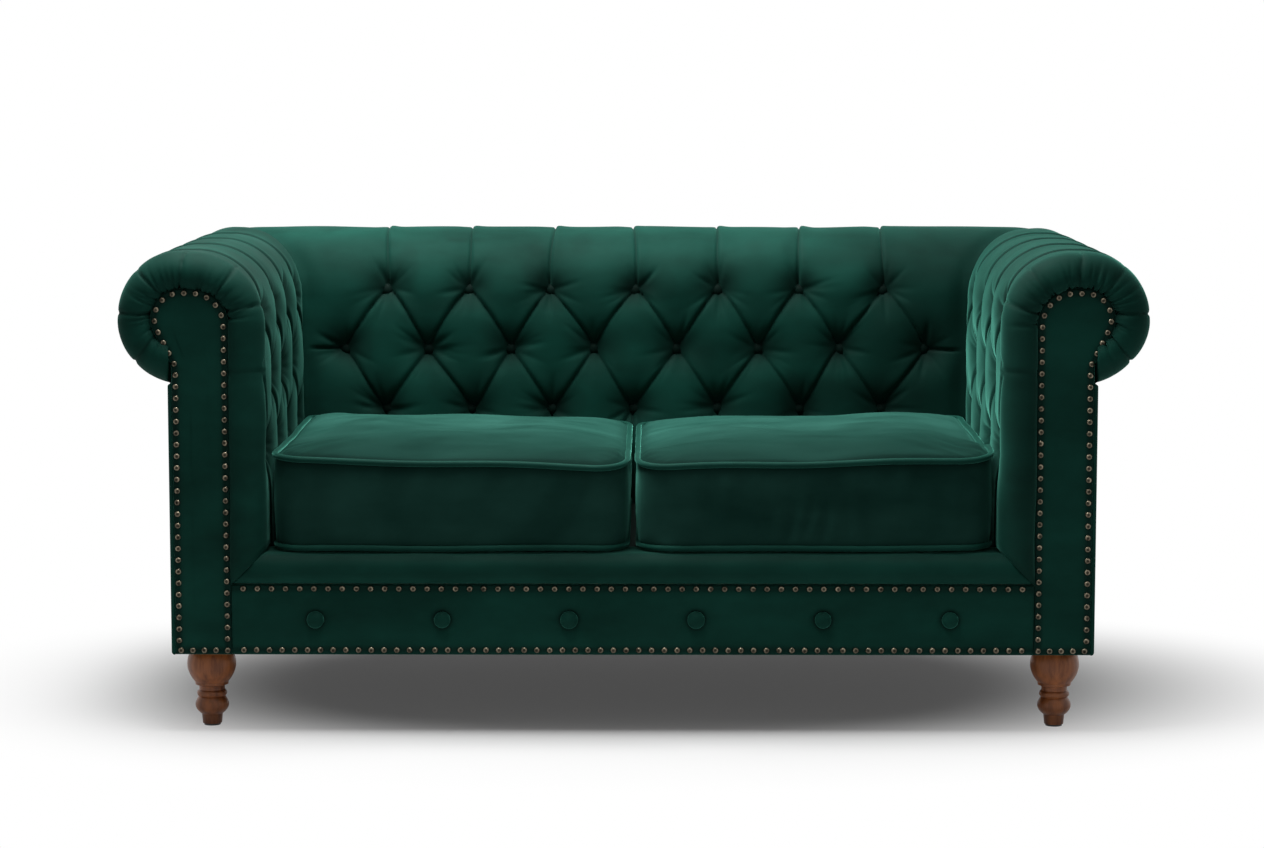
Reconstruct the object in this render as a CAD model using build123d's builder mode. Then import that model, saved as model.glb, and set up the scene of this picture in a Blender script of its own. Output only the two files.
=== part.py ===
import math
import os

from build123d import *

# Overall sizes, in millimetres. X runs left to right as seen from the front,
# the front faces -Y, +Z is up and the floor under the feet is Z = 0.
overall_width = 1590.0
overall_depth = 850.0
overall_height = 746.0

# Section of the arms and the back
wall_thickness = 150.0
roll_overhang = 80.0
roll_radius = 102.0
shoulder_radius = 112.0
pad_thickness = 55.0
nose_radius = 38.0
outside_thickness = 6.0
neck_drop = 69.0

# Frame timber and boards
base_height = 122.0
rail_height = 110.0
rail_thickness = 24.0
rail_width = 60.0
tack_width = 40.0
board_thickness = 4.0
block_length = 95.0
block_width = 60.0
block_height = 60.0
stretcher_height = 80.0

# Front trim
facing_recess = 12.0
facing_thickness = 10.0
facing_round = 3.0
border_depth = 85.0
border_recess = 4.0
border_round = 18.0
mitre_margin = 6.0
deck_thickness = 49.0

# Tufting
back_pitch = 142.0
back_columns = 7
arm_pitch = 152.0
arm_columns = 4
arm_first = 90.0
top_row_drop = 100.0
row_pitch = 104.0
pleat_width = 13.0
pleat_depth = 14.0
pleat_lift = 4.0
pleat_overrun = 4.0
dimple_radius = 29.0
dimple_depth = 30.0
button_radius = 11.0
button_height = 8.0
twine_radius = 1.5
nose_pleat_angles = (149.0, 121.0, 90.0, 47.0, 8.0, -21.0)

# Front rail buttons
rail_button_count = 6
rail_button_pitch = 196.5
rail_button_radius = 13.5
rail_button_height = 9.0
rail_dimple_depth = 4.0
rail_dimple_radius = 20.0

# Nails
nail_radius = 4.8
nail_height = 3.4
shank_radius = 1.0
shank_length = 9.0
facing_nail_pitch = 18.0
facing_nail_inset = 7.0
upper_nail_pitch = 21.5
lower_nail_pitch = 19.7
upper_nail_drop = 6.0
lower_nail_rise = 8.0

# Seat springs and cloths
spring_count = 8
spring_pitch = 138.0
wire_radius = 1.8
loop_radius = 14.0
hook_length = 10.0
clip_depth = 7.0
clip_height = 5.0
cloth_thickness = 2.0
dust_thickness = 1.2
dust_margin = 4.0

# Feet
foot_inset = 54.0
foot_setback = 75.0
foot_tip_radius = 15.0
foot_waist_radius = 20.0
foot_ring_radius = 23.5
foot_ball_radius = 26.2
foot_bulb_radius = 38.0
foot_top_radius = 31.0
glide_radius = 13.0
glide_height = 3.0
bolt_radius = 4.0
bolt_in_foot = 35.0
nut_radius = 5.5
nut_depth = 14.0
flange_radius = 11.0
flange_thickness = 1.5

# Loose seat cushions
cushion_height = 143.0
cushion_crown = 21.0
cushion_draw = 5.0
cushion_corner = 26.0
cushion_gap = 3.0
cushion_setback = 15.0
piping_radius = 4.5
cover_thickness = 2.0
zip_length = 420.0
zip_height = 14.0
chain_height = 4.0
chain_depth = 1.6
slider_length = 14.0
slider_height = 9.0
slider_depth = 1.2
tab_length = 20.0
tab_width = 5.0

# Fits
fit = 0.3
slide_fit = 0.4

# Derived places
half_width = overall_width / 2
front = -overall_depth / 2
outer_x = half_width - roll_overhang
inner_x = outer_x - wall_thickness
back_outer = overall_depth / 2 - roll_overhang
back_inner = back_outer - wall_thickness
roll_out = wall_thickness + roll_overhang - roll_radius
roll_z = overall_height - roll_radius
shoulder_z = overall_height - shoulder_radius
frame_out = wall_thickness - outside_thickness
under_roll = roll_z - math.sqrt(roll_radius**2 - (wall_thickness - roll_out) ** 2)
neck_z = roll_z - neck_drop
rail_top = base_height + rail_height
deck_top = rail_top + deck_thickness
facing_front = front + facing_recess
panel_front = facing_front + facing_thickness
panel_back = panel_front + rail_thickness
side_rail_in = inner_x + frame_out - rail_thickness
side_rail_out = inner_x + frame_out
back_rail_front = back_inner + frame_out - rail_thickness
back_rail_rear = back_inner + frame_out
rail_near = pad_thickness + board_thickness
rail_far = rail_near + rail_thickness
upright_top = shoulder_z + shoulder_radius / 9
slat_near = roll_out + 4.0
slat_top = roll_z + rail_width / 2
frame_inner_x = inner_x + pad_thickness
end_panel_in = frame_inner_x - rail_thickness
rear_panel_front = back_inner + pad_thickness + 5.0 - rail_thickness
rows = [overall_height - top_row_drop - i * row_pitch for i in range(3)]
border_front = front + border_recess
border_back = border_front + border_depth
foot_x = outer_x - foot_inset
foot_rear = back_rail_front - block_width / 2
foot_places = [(x, y) for y in (front + foot_setback, foot_rear) for x in (-foot_x, foot_x)]
cushion_width = inner_x - 1.5 * cushion_gap
cushion_x = -(inner_x - cushion_gap / 2) / 2 - cushion_gap / 4
cushion_front = front + cushion_setback
cushion_back = back_inner - cushion_gap
seam_low = deck_top + fit + piping_radius
seam_high = deck_top + fit + cushion_height - piping_radius
zip_y = cushion_back - piping_radius
zip_z = (seam_low + seam_high) / 2

os.makedirs("parts", exist_ok=True)


def arm_plane(y):
    """Upright plane across the left arm; its X runs outward from the inside face."""
    return Plane(origin=(-inner_x, y, 0), x_dir=(-1, 0, 0), z_dir=(0, 1, 0))


def back_plane(x):
    """Upright plane across the back; its X runs rearward from the inside face."""
    return Plane(origin=(x, back_inner, 0), x_dir=(0, 1, 0), z_dir=(1, 0, 0))


def padded_section(plane, inset):
    """Padded outline of an arm or the back with its rolled top."""
    top = overall_height - inset
    roll = roll_radius - inset
    end = math.degrees(math.acos((wall_thickness - roll_out) / roll))
    low = roll_z - roll * math.sin(math.radians(end))
    with BuildSketch(plane) as section:
        with BuildLine():
            Line((inset, rail_top + fit), (inset, shoulder_z))
            CenterArc((shoulder_radius, shoulder_z), shoulder_radius - inset, 180, -90)
            Line((shoulder_radius, top), (roll_out, top))
            CenterArc((roll_out, roll_z), roll, 90, -90)
            CenterArc((roll_out, roll_z), roll, 0, -end)
            Line((wall_thickness, low), (wall_thickness, rail_top + fit))
            Line((wall_thickness, rail_top + fit), (inset, rail_top + fit))
        make_face()
    return section.sketch


def frame_section(plane, edge, bottom):
    """Outline of the wooden scroll panels, drawn in from their full size by edge."""
    inner = pad_thickness + edge
    top = overall_height - inner
    roll = roll_radius - inner
    neck = (frame_out - edge, neck_z - edge / 2)
    reach = math.hypot(neck[0] - roll_out, neck[1] - roll_z)
    aim = math.degrees(math.atan2(neck[1] - roll_z, neck[0] - roll_out))
    turn = aim + math.degrees(math.acos(roll / reach))
    touch_x = roll_out + roll * math.cos(math.radians(turn))
    touch_z = roll_z + roll * math.sin(math.radians(turn))
    with BuildSketch(plane) as section:
        with BuildLine():
            Line((inner, bottom), (inner, shoulder_z))
            CenterArc((shoulder_radius, shoulder_z), shoulder_radius - inner, 180, -90)
            Line((shoulder_radius, top), (roll_out, top))
            CenterArc((roll_out, roll_z), roll, 90, turn - 90)
            Line((touch_x, touch_z), neck)
            Line(neck, (frame_out - edge, bottom))
            Line((frame_out - edge, bottom), (inner, bottom))
        make_face()
    return section.sketch


def slab(x_range, y_range, z_range):
    """Square-edged bar or board between the given limits."""
    with BuildPart() as bar:
        with BuildSketch(Plane.XY.offset(z_range[0])):
            with BuildLine():
                Polyline(
                    (x_range[0], y_range[0]),
                    (x_range[1], y_range[0]),
                    (x_range[1], y_range[1]),
                    (x_range[0], y_range[1]),
                    close=True,
                )
            make_face()
        extrude(amount=z_range[1] - z_range[0])
    return bar.part


def arm_bar(near, far, low, high, start, end):
    """Bar along the left arm, placed by its distance outward from the inside face."""
    return slab((-inner_x - far, -inner_x - near), (start, end), (low, high))


def back_bar(near, far, low, high, half_length):
    """Bar along the back, placed by its distance rearward from the inside face."""
    return slab((-half_length, half_length), (back_inner + near, back_inner + far), (low, high))


def groove_section(plane):
    """V section of a sewn pleat; the plane's Y points out of the padding."""
    with BuildSketch(plane) as section:
        with BuildLine():
            Polyline(
                (-pleat_width, pleat_lift), (0, -pleat_depth), (pleat_width, pleat_lift), close=True
            )
        make_face()
    return section.sketch


def pleat(start, end, outward):
    """Straight V groove sewn into a padded face between two points."""
    run = Vector(*end) - Vector(*start)
    plane = Plane(origin=start, x_dir=Vector(*outward).cross(run), z_dir=run)
    with BuildPart() as groove:
        extrude(groove_section(plane), amount=run.length)
    return groove.part


def roll_pleat(plane):
    """V groove from a top-row button over the shoulder and round the roll."""
    low = min(rows[0], shoulder_z) - dimple_radius / 3
    under = math.degrees(math.acos((wall_thickness - roll_out) / roll_radius)) + pleat_overrun
    with BuildPart() as groove:
        with BuildLine(plane) as path:
            Line((0, low), (0, shoulder_z))
            CenterArc((shoulder_radius, shoulder_z), shoulder_radius, 180, -90)
            Line((shoulder_radius, overall_height), (roll_out, overall_height))
            CenterArc((roll_out, roll_z), roll_radius, 90, -90)
            CenterArc((roll_out, roll_z), roll_radius, 0, -under)
        start = Plane(origin=path.line @ 0, x_dir=-plane.z_dir, z_dir=(0, 0, 1))
        sweep(groove_section(start), path=path.line)
    return groove.part


def dimple(point, outward):
    """Pulled-in hollow of a tufting button, with the hole its twine runs through."""
    top = Plane(origin=point, z_dir=outward).offset(pleat_lift)
    slope = math.atan2(dimple_radius - button_radius - fit, dimple_depth + pleat_lift)
    with BuildPart() as hollow:
        with BuildSketch(top):
            Circle(dimple_radius)
        extrude(amount=-dimple_depth - pleat_lift, taper=math.degrees(slope))
        with BuildSketch(top):
            Circle(twine_radius + fit)
        extrude(amount=-pad_thickness - pleat_lift)
    return hollow.part


def dome(radius, height):
    """Domed head with a flat underside at Y = 0, its crown toward -Y."""
    sphere = (radius**2 + height**2) / (2 * height)
    half = math.asin(min(1.0, radius / sphere)) / 2
    middle = (sphere * math.sin(half), sphere - height - sphere * math.cos(half))
    with BuildPart() as cap:
        with BuildSketch(Plane.XY):
            with BuildLine():
                Line((0, 0), (radius, 0))
                ThreePointArc((radius, 0), middle, (0, -height))
                Line((0, -height), (0, 0))
            make_face()
        revolve(axis=Axis.Y)
    return cap.part


def cushion_outline(z, inset):
    """Plan of the left cushion, its front and sides drawn in between the corners."""
    half = cushion_width / 2 - inset
    near = cushion_front + inset
    far = cushion_back - inset
    middle = (near + far) / 2
    with BuildSketch(Plane(origin=(cushion_x, 0, z))) as outline:
        with BuildLine():
            ThreePointArc((-half, near), (0, near + cushion_draw), (half, near))
            ThreePointArc((half, near), (half - cushion_draw, middle), (half, far))
            Line((half, far), (-half, far))
            ThreePointArc((-half, far), (-half + cushion_draw, middle), (-half, near))
        make_face()
        fillet(outline.vertices(), radius=cushion_corner)
    return outline.sketch


def cushion_body(shrink):
    """Stuffed cushion shape with its crown, drawn in all over by shrink."""
    edge = piping_radius + shrink
    low = seam_low + shrink
    high = seam_high - shrink
    crown = [
        cushion_outline(high, edge),
        cushion_outline(high + cushion_crown * 0.55, edge + 50),
        cushion_outline(high + cushion_crown * 0.88, edge + 120),
        cushion_outline(high + cushion_crown, edge + 190),
    ]
    with BuildPart() as body:
        extrude(cushion_outline(low, edge), amount=high - low)
        loft(crown)
        loft([cushion_outline(low - piping_radius, edge + 60), cushion_outline(low, edge)], ruled=True)
    return body.part


def cushion_cord(z):
    """One run of piping round the cushion at a seam."""
    path = cushion_outline(z, piping_radius).face().outer_wire()
    with BuildPart() as cord:
        with BuildSketch(Plane(origin=path @ 0, z_dir=path % 0)):
            Circle(piping_radius)
        sweep(path=path)
    return cord.part


# Base frame
with BuildPart() as front_rail:
    add(slab((-frame_inner_x, frame_inner_x), (panel_front, panel_back), (base_height, rail_top)))

with BuildPart() as back_rail:
    add(slab((-side_rail_in, side_rail_in), (back_rail_front, back_rail_rear), (base_height, rail_top)))

with BuildPart() as side_rails:
    add(slab((-side_rail_out, -side_rail_in), (panel_back, back_rail_rear), (base_height, rail_top)))
    mirror(about=Plane.YZ)

with BuildPart() as centre_stretcher:
    add(
        slab(
            (-rail_thickness / 2, rail_thickness / 2),
            (panel_back, back_rail_front),
            (base_height, base_height + stretcher_height),
        )
    )

block_top = base_height + block_height
with BuildPart() as corner_blocks:
    for near in (panel_back, back_rail_front - block_width):
        add(
            slab(
                (-side_rail_in, -side_rail_in + block_length),
                (near, near + block_width),
                (base_height, block_top),
            )
        )
    mirror(about=Plane.YZ)
    with BuildSketch(Plane.XY.offset(base_height)):
        with Locations(*foot_places):
            Circle(bolt_radius + fit)
    extrude(amount=block_height, mode=Mode.SUBTRACT)
    with BuildSketch(Plane.XY.offset(block_top)):
        with Locations(*foot_places):
            Circle(nut_radius)
    extrude(amount=-nut_depth, mode=Mode.SUBTRACT)

with BuildPart() as rear_corner_posts:
    add(
        slab(
            (-side_rail_out, -side_rail_in),
            (back_rail_front, back_rail_rear),
            (rail_top, neck_z - rail_thickness / 4),
        )
    )
    mirror(about=Plane.YZ)

# Arm frames
with BuildPart() as arm_front_panel_left:
    extrude(frame_section(arm_plane(panel_front), fit, base_height), amount=rail_thickness)

with BuildPart() as arm_front_panel_right:
    mirror(arm_front_panel_left.part, about=Plane.YZ)

with BuildPart() as arm_rear_panels:
    extrude(frame_section(arm_plane(rear_panel_front), fit, rail_top), amount=rail_thickness)
    mirror(about=Plane.YZ)

with BuildPart() as arm_top_rails:
    add(arm_bar(rail_near, rail_far, upright_top - rail_width, upright_top, panel_back, rear_panel_front))
    mirror(about=Plane.YZ)

with BuildPart() as arm_roll_slats:
    add(
        arm_bar(
            slat_near, slat_near + rail_thickness, slat_top - rail_width, slat_top, panel_back, rear_panel_front
        )
    )
    mirror(about=Plane.YZ)

with BuildPart() as arm_tack_rails:
    add(arm_bar(rail_near, rail_far, rail_top, rail_top + tack_width, panel_back, rear_panel_front))
    mirror(about=Plane.YZ)

with BuildPart() as arm_inner_boards:
    add(arm_bar(pad_thickness, rail_near, rail_top, shoulder_z - fit, panel_back, rear_panel_front))
    mirror(about=Plane.YZ)

# Back frame
with BuildPart() as back_end_panels:
    extrude(frame_section(back_plane(-frame_inner_x), fit, rail_top), amount=rail_thickness)
    mirror(about=Plane.YZ)

with BuildPart() as back_top_rail:
    add(back_bar(rail_near, rail_far, upright_top - rail_width, upright_top, end_panel_in))

with BuildPart() as back_roll_slat:
    add(back_bar(slat_near, slat_near + rail_thickness, slat_top - rail_width, slat_top, end_panel_in))

with BuildPart() as back_tack_rail:
    add(back_bar(rail_near, rail_far, rail_top, rail_top + tack_width, end_panel_in))

with BuildPart() as back_centre_post:
    add(back_bar(rail_far, slat_near, rail_top, upright_top, rail_thickness / 2))

with BuildPart() as back_inner_board:
    add(back_bar(pad_thickness, rail_near, rail_top, shoulder_z - fit, end_panel_in))

# Seat springs, hooked into clips on the front and back rails
spring_z = rail_top - cloth_thickness - fit - wire_radius
spring_start = panel_back + clip_depth / 2
spring_end = back_rail_front - clip_depth / 2
loop_count = 2 * round((spring_end - spring_start) / (4 * loop_radius))
loop_step = (spring_end - spring_start) / loop_count
spring_places = [(i - (spring_count - 1) / 2) * spring_pitch for i in range(spring_count)]
with BuildPart() as seat_spring:
    with BuildLine(Plane.XY.offset(spring_z)) as spring_path:
        Line((-hook_length, spring_start), (0, spring_start))
        for i in range(loop_count):
            near = spring_start + i * loop_step
            side = loop_step / 2 if i % 2 == 0 else -loop_step / 2
            ThreePointArc((0, near), (side, near + loop_step / 2), (0, near + loop_step))
        Line((0, spring_end), (hook_length, spring_end))
    with BuildSketch(Plane(origin=(-hook_length, spring_start, spring_z), z_dir=(1, 0, 0))):
        Circle(wire_radius)
    sweep(path=spring_path.line)

with BuildPart() as seat_springs:
    with Locations(*[(x, 0, 0) for x in spring_places]):
        add(seat_spring.part)

with BuildPart() as spring_clips:
    for x in spring_places:
        add(
            slab(
                (x - hook_length, x),
                (panel_back, panel_back + clip_depth),
                (spring_z - clip_height, spring_z),
            )
        )
        add(
            slab(
                (x, x + hook_length),
                (back_rail_front - clip_depth, back_rail_front),
                (spring_z - clip_height, spring_z),
            )
        )
    add(seat_springs.part, mode=Mode.SUBTRACT)

with BuildPart() as deck_cloth:
    add(
        slab(
            (-side_rail_in, side_rail_in), (panel_back, back_rail_front), (rail_top - cloth_thickness, rail_top)
        )
    )

with BuildPart() as deck_pad:
    add(
        slab(
            (-inner_x + fit, inner_x - fit), (border_back + fit, back_inner - fit), (rail_top, deck_top)
        )
    )
    fillet(deck_pad.edges().filter_by(Axis.X).group_by(Axis.Z)[-1], radius=deck_thickness / 8)

with BuildPart() as dust_cover:
    add(
        slab(
            (-side_rail_out + dust_margin, side_rail_out - dust_margin),
            (panel_front + dust_margin, back_rail_rear - dust_margin),
            (base_height - dust_thickness, base_height),
        )
    )
    with BuildSketch(Plane.XY.offset(base_height)):
        with Locations(*foot_places):
            Circle(foot_bulb_radius)
    extrude(amount=-2 * dust_thickness, mode=Mode.SUBTRACT)

# Tufted padding of the back
back_top_buttons = [(i - (back_columns - 1) / 2) * back_pitch for i in range(back_columns)]
back_mid_buttons = [(i - back_columns / 2) * back_pitch for i in range(back_columns + 1)]
back_places = [(x, rows[0]) for x in back_top_buttons]
back_places += [(x, rows[1]) for x in back_mid_buttons]
back_places += [(x, rows[2]) for x in back_top_buttons]
forward = (0, -1, 0)
back_cuts = [dimple((x, back_inner, z), forward) for x, z in back_places]
for x in back_top_buttons:
    back_cuts.append(roll_pleat(back_plane(x)))
    back_cuts.append(pleat((x, back_inner, rows[2]), (x, back_inner, rail_top), forward))
    for side in (-back_pitch / 2, back_pitch / 2):
        meeting = (x + side, back_inner, rows[1])
        back_cuts.append(pleat((x, back_inner, rows[0]), meeting, forward))
        back_cuts.append(pleat((x, back_inner, rows[2]), meeting, forward))
for end, corner in ((back_mid_buttons[0], -inner_x), (back_mid_buttons[-1], inner_x)):
    back_cuts.append(pleat((end, back_inner, rows[1]), (corner, back_inner, rows[1]), forward))

with BuildPart() as back_pad:
    extrude(padded_section(back_plane(-half_width), 0), amount=overall_width)
    extrude(
        frame_section(back_plane(-half_width), -fit, rail_top - mitre_margin),
        amount=overall_width,
        mode=Mode.SUBTRACT,
    )
    add(
        slab(
            (-half_width, half_width),
            (back_rail_rear - fit, back_outer + mitre_margin),
            (rail_top - mitre_margin, under_roll + fit),
        ),
        mode=Mode.SUBTRACT,
    )
    split(bisect_by=Plane(origin=(-inner_x, back_inner + fit, 0), z_dir=(1, 1, 0)), keep=Keep.TOP)
    split(bisect_by=Plane(origin=(inner_x, back_inner + fit, 0), z_dir=(-1, 1, 0)), keep=Keep.TOP)
    add(back_cuts, mode=Mode.SUBTRACT)

# Tufted padding of the arms, bull-nosed at the front and mitred into the back
arm_top_buttons = [front + arm_first + i * arm_pitch for i in range(arm_columns)]
arm_meetings = [front + arm_first + (i - 0.5) * arm_pitch for i in range(arm_columns + 1)]
arm_meetings[-1] = min(arm_meetings[-1], back_inner)
arm_places = [(y, rows[0]) for y in arm_top_buttons]
arm_places += [(y, rows[1]) for y in arm_meetings[1:-1]]
arm_places += [(y, rows[2]) for y in arm_top_buttons]
inward = (1, 0, 0)
arm_cuts = [dimple((-inner_x, y, z), inward) for y, z in arm_places]
for i, y in enumerate(arm_top_buttons):
    arm_cuts.append(roll_pleat(arm_plane(y)))
    arm_cuts.append(pleat((-inner_x, y, rows[2]), (-inner_x, y, rail_top), inward))
    for meeting in arm_meetings[i : i + 2]:
        arm_cuts.append(pleat((-inner_x, y, rows[0]), (-inner_x, meeting, rows[1]), inward))
        arm_cuts.append(pleat((-inner_x, y, rows[2]), (-inner_x, meeting, rows[1]), inward))
for angle in nose_pleat_angles:
    ray = (-math.cos(math.radians(angle)), math.sin(math.radians(angle)))
    hub = (-inner_x - roll_out, roll_z)
    starts = (roll_radius - pad_thickness, roll_radius + pleat_width)
    ends = [(hub[0] + r * ray[0], front, hub[1] + r * ray[1]) for r in starts]
    arm_cuts.append(pleat(ends[0], ends[1], forward))

nose_sections = []
for step in (0, 30, 55, 75, 90):
    turn = math.radians(step)
    nose_sections.append(
        padded_section(
            arm_plane(front + nose_radius * (1 - math.sin(turn))), nose_radius * (1 - math.cos(turn))
        )
    )

with BuildPart() as arm_pad_left:
    extrude(padded_section(arm_plane(front + nose_radius), 0), amount=overall_depth - nose_radius)
    loft(nose_sections)
    extrude(
        frame_section(arm_plane(front - mitre_margin), -fit, rail_top - mitre_margin),
        amount=overall_depth + mitre_margin,
        mode=Mode.SUBTRACT,
    )
    add(
        slab(
            (-outer_x - mitre_margin, -side_rail_out + fit),
            (front - mitre_margin, -front),
            (rail_top - mitre_margin, under_roll + fit),
        ),
        mode=Mode.SUBTRACT,
    )
    split(bisect_by=Plane(origin=(-inner_x, back_inner - fit, 0), z_dir=(1, 1, 0)), keep=Keep.BOTTOM)
    with BuildSketch(arm_plane(front - mitre_margin)):
        with BuildLine():
            Polyline(
                (-mitre_margin, rail_top - mitre_margin),
                (pad_thickness + mitre_margin + 2 * fit, rail_top - mitre_margin),
                (-mitre_margin, rail_top + pad_thickness + mitre_margin + 2 * fit),
                close=True,
            )
        make_face()
    extrude(amount=border_back + fit - front + mitre_margin, mode=Mode.SUBTRACT)
    add(arm_cuts, mode=Mode.SUBTRACT)

with BuildPart() as arm_pad_right:
    mirror(arm_pad_left.part, about=Plane.YZ)

# Tufting buttons and the twine that pulls them in
button = dome(button_radius, button_height)
with BuildPart() as back_buttons:
    with Locations(*[(x, back_inner + dimple_depth, z) for x, z in back_places]):
        add(button)

arm_button_x = -inner_x - dimple_depth
with BuildPart() as arm_buttons_left:
    with Locations(*[Location((arm_button_x, y, z), (0, 0, 90)) for y, z in arm_places]):
        add(button)

with BuildPart() as arm_buttons_right:
    mirror(arm_buttons_left.part, about=Plane.YZ)

with BuildPart() as tufting_twine:
    for sign in (-1, 1):
        with BuildSketch(Plane(origin=(sign * -arm_button_x, 0, 0), x_dir=(0, 1, 0), z_dir=(1, 0, 0))):
            with Locations(*arm_places):
                Circle(twine_radius)
        extrude(amount=sign * (pad_thickness - dimple_depth))
    with BuildSketch(Plane(origin=(0, back_inner + dimple_depth, 0), x_dir=(-1, 0, 0), z_dir=(0, 1, 0))):
        with Locations(*[(-x, z) for x, z in back_places]):
            Circle(twine_radius)
    extrude(amount=pad_thickness - dimple_depth)

# Outside panels
with BuildPart() as outside_arm_left:
    add(slab((-outer_x, -side_rail_out), (facing_front, back_outer), (base_height, under_roll)))
    fillet(outside_arm_left.edges().filter_by(Axis.Z).group_by(Axis.X)[0], radius=outside_thickness * 0.6)

with BuildPart() as outside_arm_right:
    mirror(outside_arm_left.part, about=Plane.YZ)

with BuildPart() as outside_back:
    add(slab((-side_rail_out, side_rail_out), (back_rail_rear, back_outer), (base_height, under_roll)))

# Arm facings and front trim
with BuildPart() as arm_facing_left:
    extrude(frame_section(arm_plane(facing_front), fit, base_height), amount=facing_thickness)
    fillet(arm_facing_left.faces().sort_by(Axis.Y)[0].edges(), radius=facing_round)

with BuildPart() as arm_facing_right:
    mirror(arm_facing_left.part, about=Plane.YZ)

rail_button_places = [
    ((i - (rail_button_count - 1) / 2) * rail_button_pitch, base_height + rail_height / 2)
    for i in range(rail_button_count)
]
rail_slope = math.degrees(math.atan2(rail_dimple_radius - rail_button_radius - fit, rail_dimple_depth))
with BuildPart() as rail_cover:
    add(slab((-frame_inner_x + fit, frame_inner_x - fit), (facing_front, panel_front), (base_height, rail_top)))
    fillet(rail_cover.edges().filter_by(Axis.X).group_by(Axis.Y)[0], radius=facing_round)
    with BuildSketch(Plane.XZ.offset(-facing_front)):
        with Locations(*rail_button_places):
            Circle(rail_dimple_radius)
    extrude(amount=-rail_dimple_depth, taper=rail_slope, mode=Mode.SUBTRACT)

with BuildPart() as rail_buttons:
    with Locations(*[(x, facing_front + rail_dimple_depth, z) for x, z in rail_button_places]):
        add(dome(rail_button_radius, rail_button_height))

with BuildPart() as front_border:
    add(
        slab(
            (-frame_inner_x, frame_inner_x), (border_front, border_back), (rail_top + fit, deck_top)
        )
    )
    fillet(front_border.edges().filter_by(Axis.X).group_by(Axis.Y)[0], radius=border_round)
    split(bisect_by=Plane(origin=(-frame_inner_x, 0, rail_top), z_dir=(1, 0, -1)), keep=Keep.TOP)
    split(bisect_by=Plane(origin=(frame_inner_x, 0, rail_top), z_dir=(-1, 0, -1)), keep=Keep.TOP)

# Upholstery nails
with BuildPart() as nail:
    add(dome(nail_radius, nail_height))
    with BuildSketch(Plane.XZ):
        Circle(shank_radius)
    extrude(amount=-shank_length)

nail_line = frame_section(
    arm_plane(facing_front), fit + facing_nail_inset, base_height + facing_nail_inset
).face().outer_wire()
nail_count = round(nail_line.length / facing_nail_pitch)
with BuildPart() as facing_nails_left:
    with Locations(*[nail_line @ (i / nail_count) for i in range(nail_count)]):
        add(nail.part)

with BuildPart() as facing_nails_right:
    mirror(facing_nails_left.part, about=Plane.YZ)

rail_nail_places = []
for pitch, z in (
    (upper_nail_pitch, rail_top - upper_nail_drop),
    (lower_nail_pitch, base_height + lower_nail_rise),
):
    count = int(2 * (frame_inner_x - 2 * nail_radius) / pitch)
    rail_nail_places += [((i - count / 2) * pitch, facing_front, z) for i in range(count + 1)]
with BuildPart() as rail_nails:
    with Locations(*rail_nail_places):
        add(nail.part)

# Turned feet with their bolts, nuts and glides
with BuildPart() as foot:
    with BuildSketch(Plane.XZ):
        with BuildLine():
            Polyline(
                (bolt_radius, base_height - bolt_in_foot),
                (0, base_height - bolt_in_foot),
                (0, glide_height),
                (foot_tip_radius, glide_height),
                (foot_tip_radius + 1.4, base_height * 0.145),
            )
            Spline(
                (foot_tip_radius + 1.4, base_height * 0.145),
                (foot_ball_radius, base_height * 0.265),
                (foot_waist_radius + 0.5, base_height * 0.375),
            )
            ThreePointArc(
                (foot_waist_radius + 0.5, base_height * 0.375),
                (foot_ring_radius, base_height * 0.418),
                (foot_waist_radius, base_height * 0.461),
            )
            Polyline(
                (foot_waist_radius, base_height * 0.461),
                (foot_waist_radius, base_height * 0.516),
                (foot_ball_radius - 0.4, base_height * 0.533),
                (foot_ball_radius, base_height * 0.566),
            )
            Spline(
                (foot_ball_radius, base_height * 0.566),
                (foot_bulb_radius, base_height * 0.775),
                (foot_top_radius, base_height),
            )
            Polyline(
                (foot_top_radius, base_height),
                (bolt_radius, base_height),
                (bolt_radius, base_height - bolt_in_foot),
            )
        make_face()
    revolve(axis=Axis.Z)

feet = {}
for name, place in zip(("front_left", "front_right", "rear_left", "rear_right"), foot_places):
    with BuildPart() as placed_foot:
        with Locations(place):
            add(foot.part)
    feet["foot_" + name] = placed_foot

with BuildPart() as foot_bolts:
    with BuildSketch(Plane.XY.offset(base_height - bolt_in_foot)):
        with Locations(*foot_places):
            Circle(bolt_radius)
    extrude(amount=bolt_in_foot + block_height)

with BuildPart() as tee_nuts:
    with BuildSketch(Plane.XY.offset(block_top - nut_depth)):
        with Locations(*foot_places):
            Circle(nut_radius)
    extrude(amount=nut_depth)
    with BuildSketch(Plane.XY.offset(block_top)):
        with Locations(*foot_places):
            Circle(flange_radius)
    extrude(amount=flange_thickness)
    with BuildSketch(Plane.XY.offset(block_top - nut_depth)):
        with Locations(*foot_places):
            Circle(bolt_radius)
    extrude(amount=nut_depth + flange_thickness, mode=Mode.SUBTRACT)

with BuildPart() as foot_glides:
    with BuildSketch(Plane.XY):
        with Locations(*foot_places):
            Circle(glide_radius)
    extrude(amount=glide_height)

# Loose seat cushions
with BuildPart() as cushion_piping_left:
    add(cushion_cord(seam_low))
    add(cushion_cord(seam_high))

zip_half = zip_length / 2
zip_window = slab(
    (cushion_x - zip_half, cushion_x + zip_half),
    (zip_y - cover_thickness, zip_y),
    (zip_z - zip_height / 2, zip_z + zip_height / 2),
)
with BuildPart() as cushion_cover_left:
    add(cushion_body(0))
    add(cushion_body(cover_thickness), mode=Mode.SUBTRACT)
    add(zip_window, mode=Mode.SUBTRACT)
    add(cushion_piping_left.part, mode=Mode.SUBTRACT)

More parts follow.
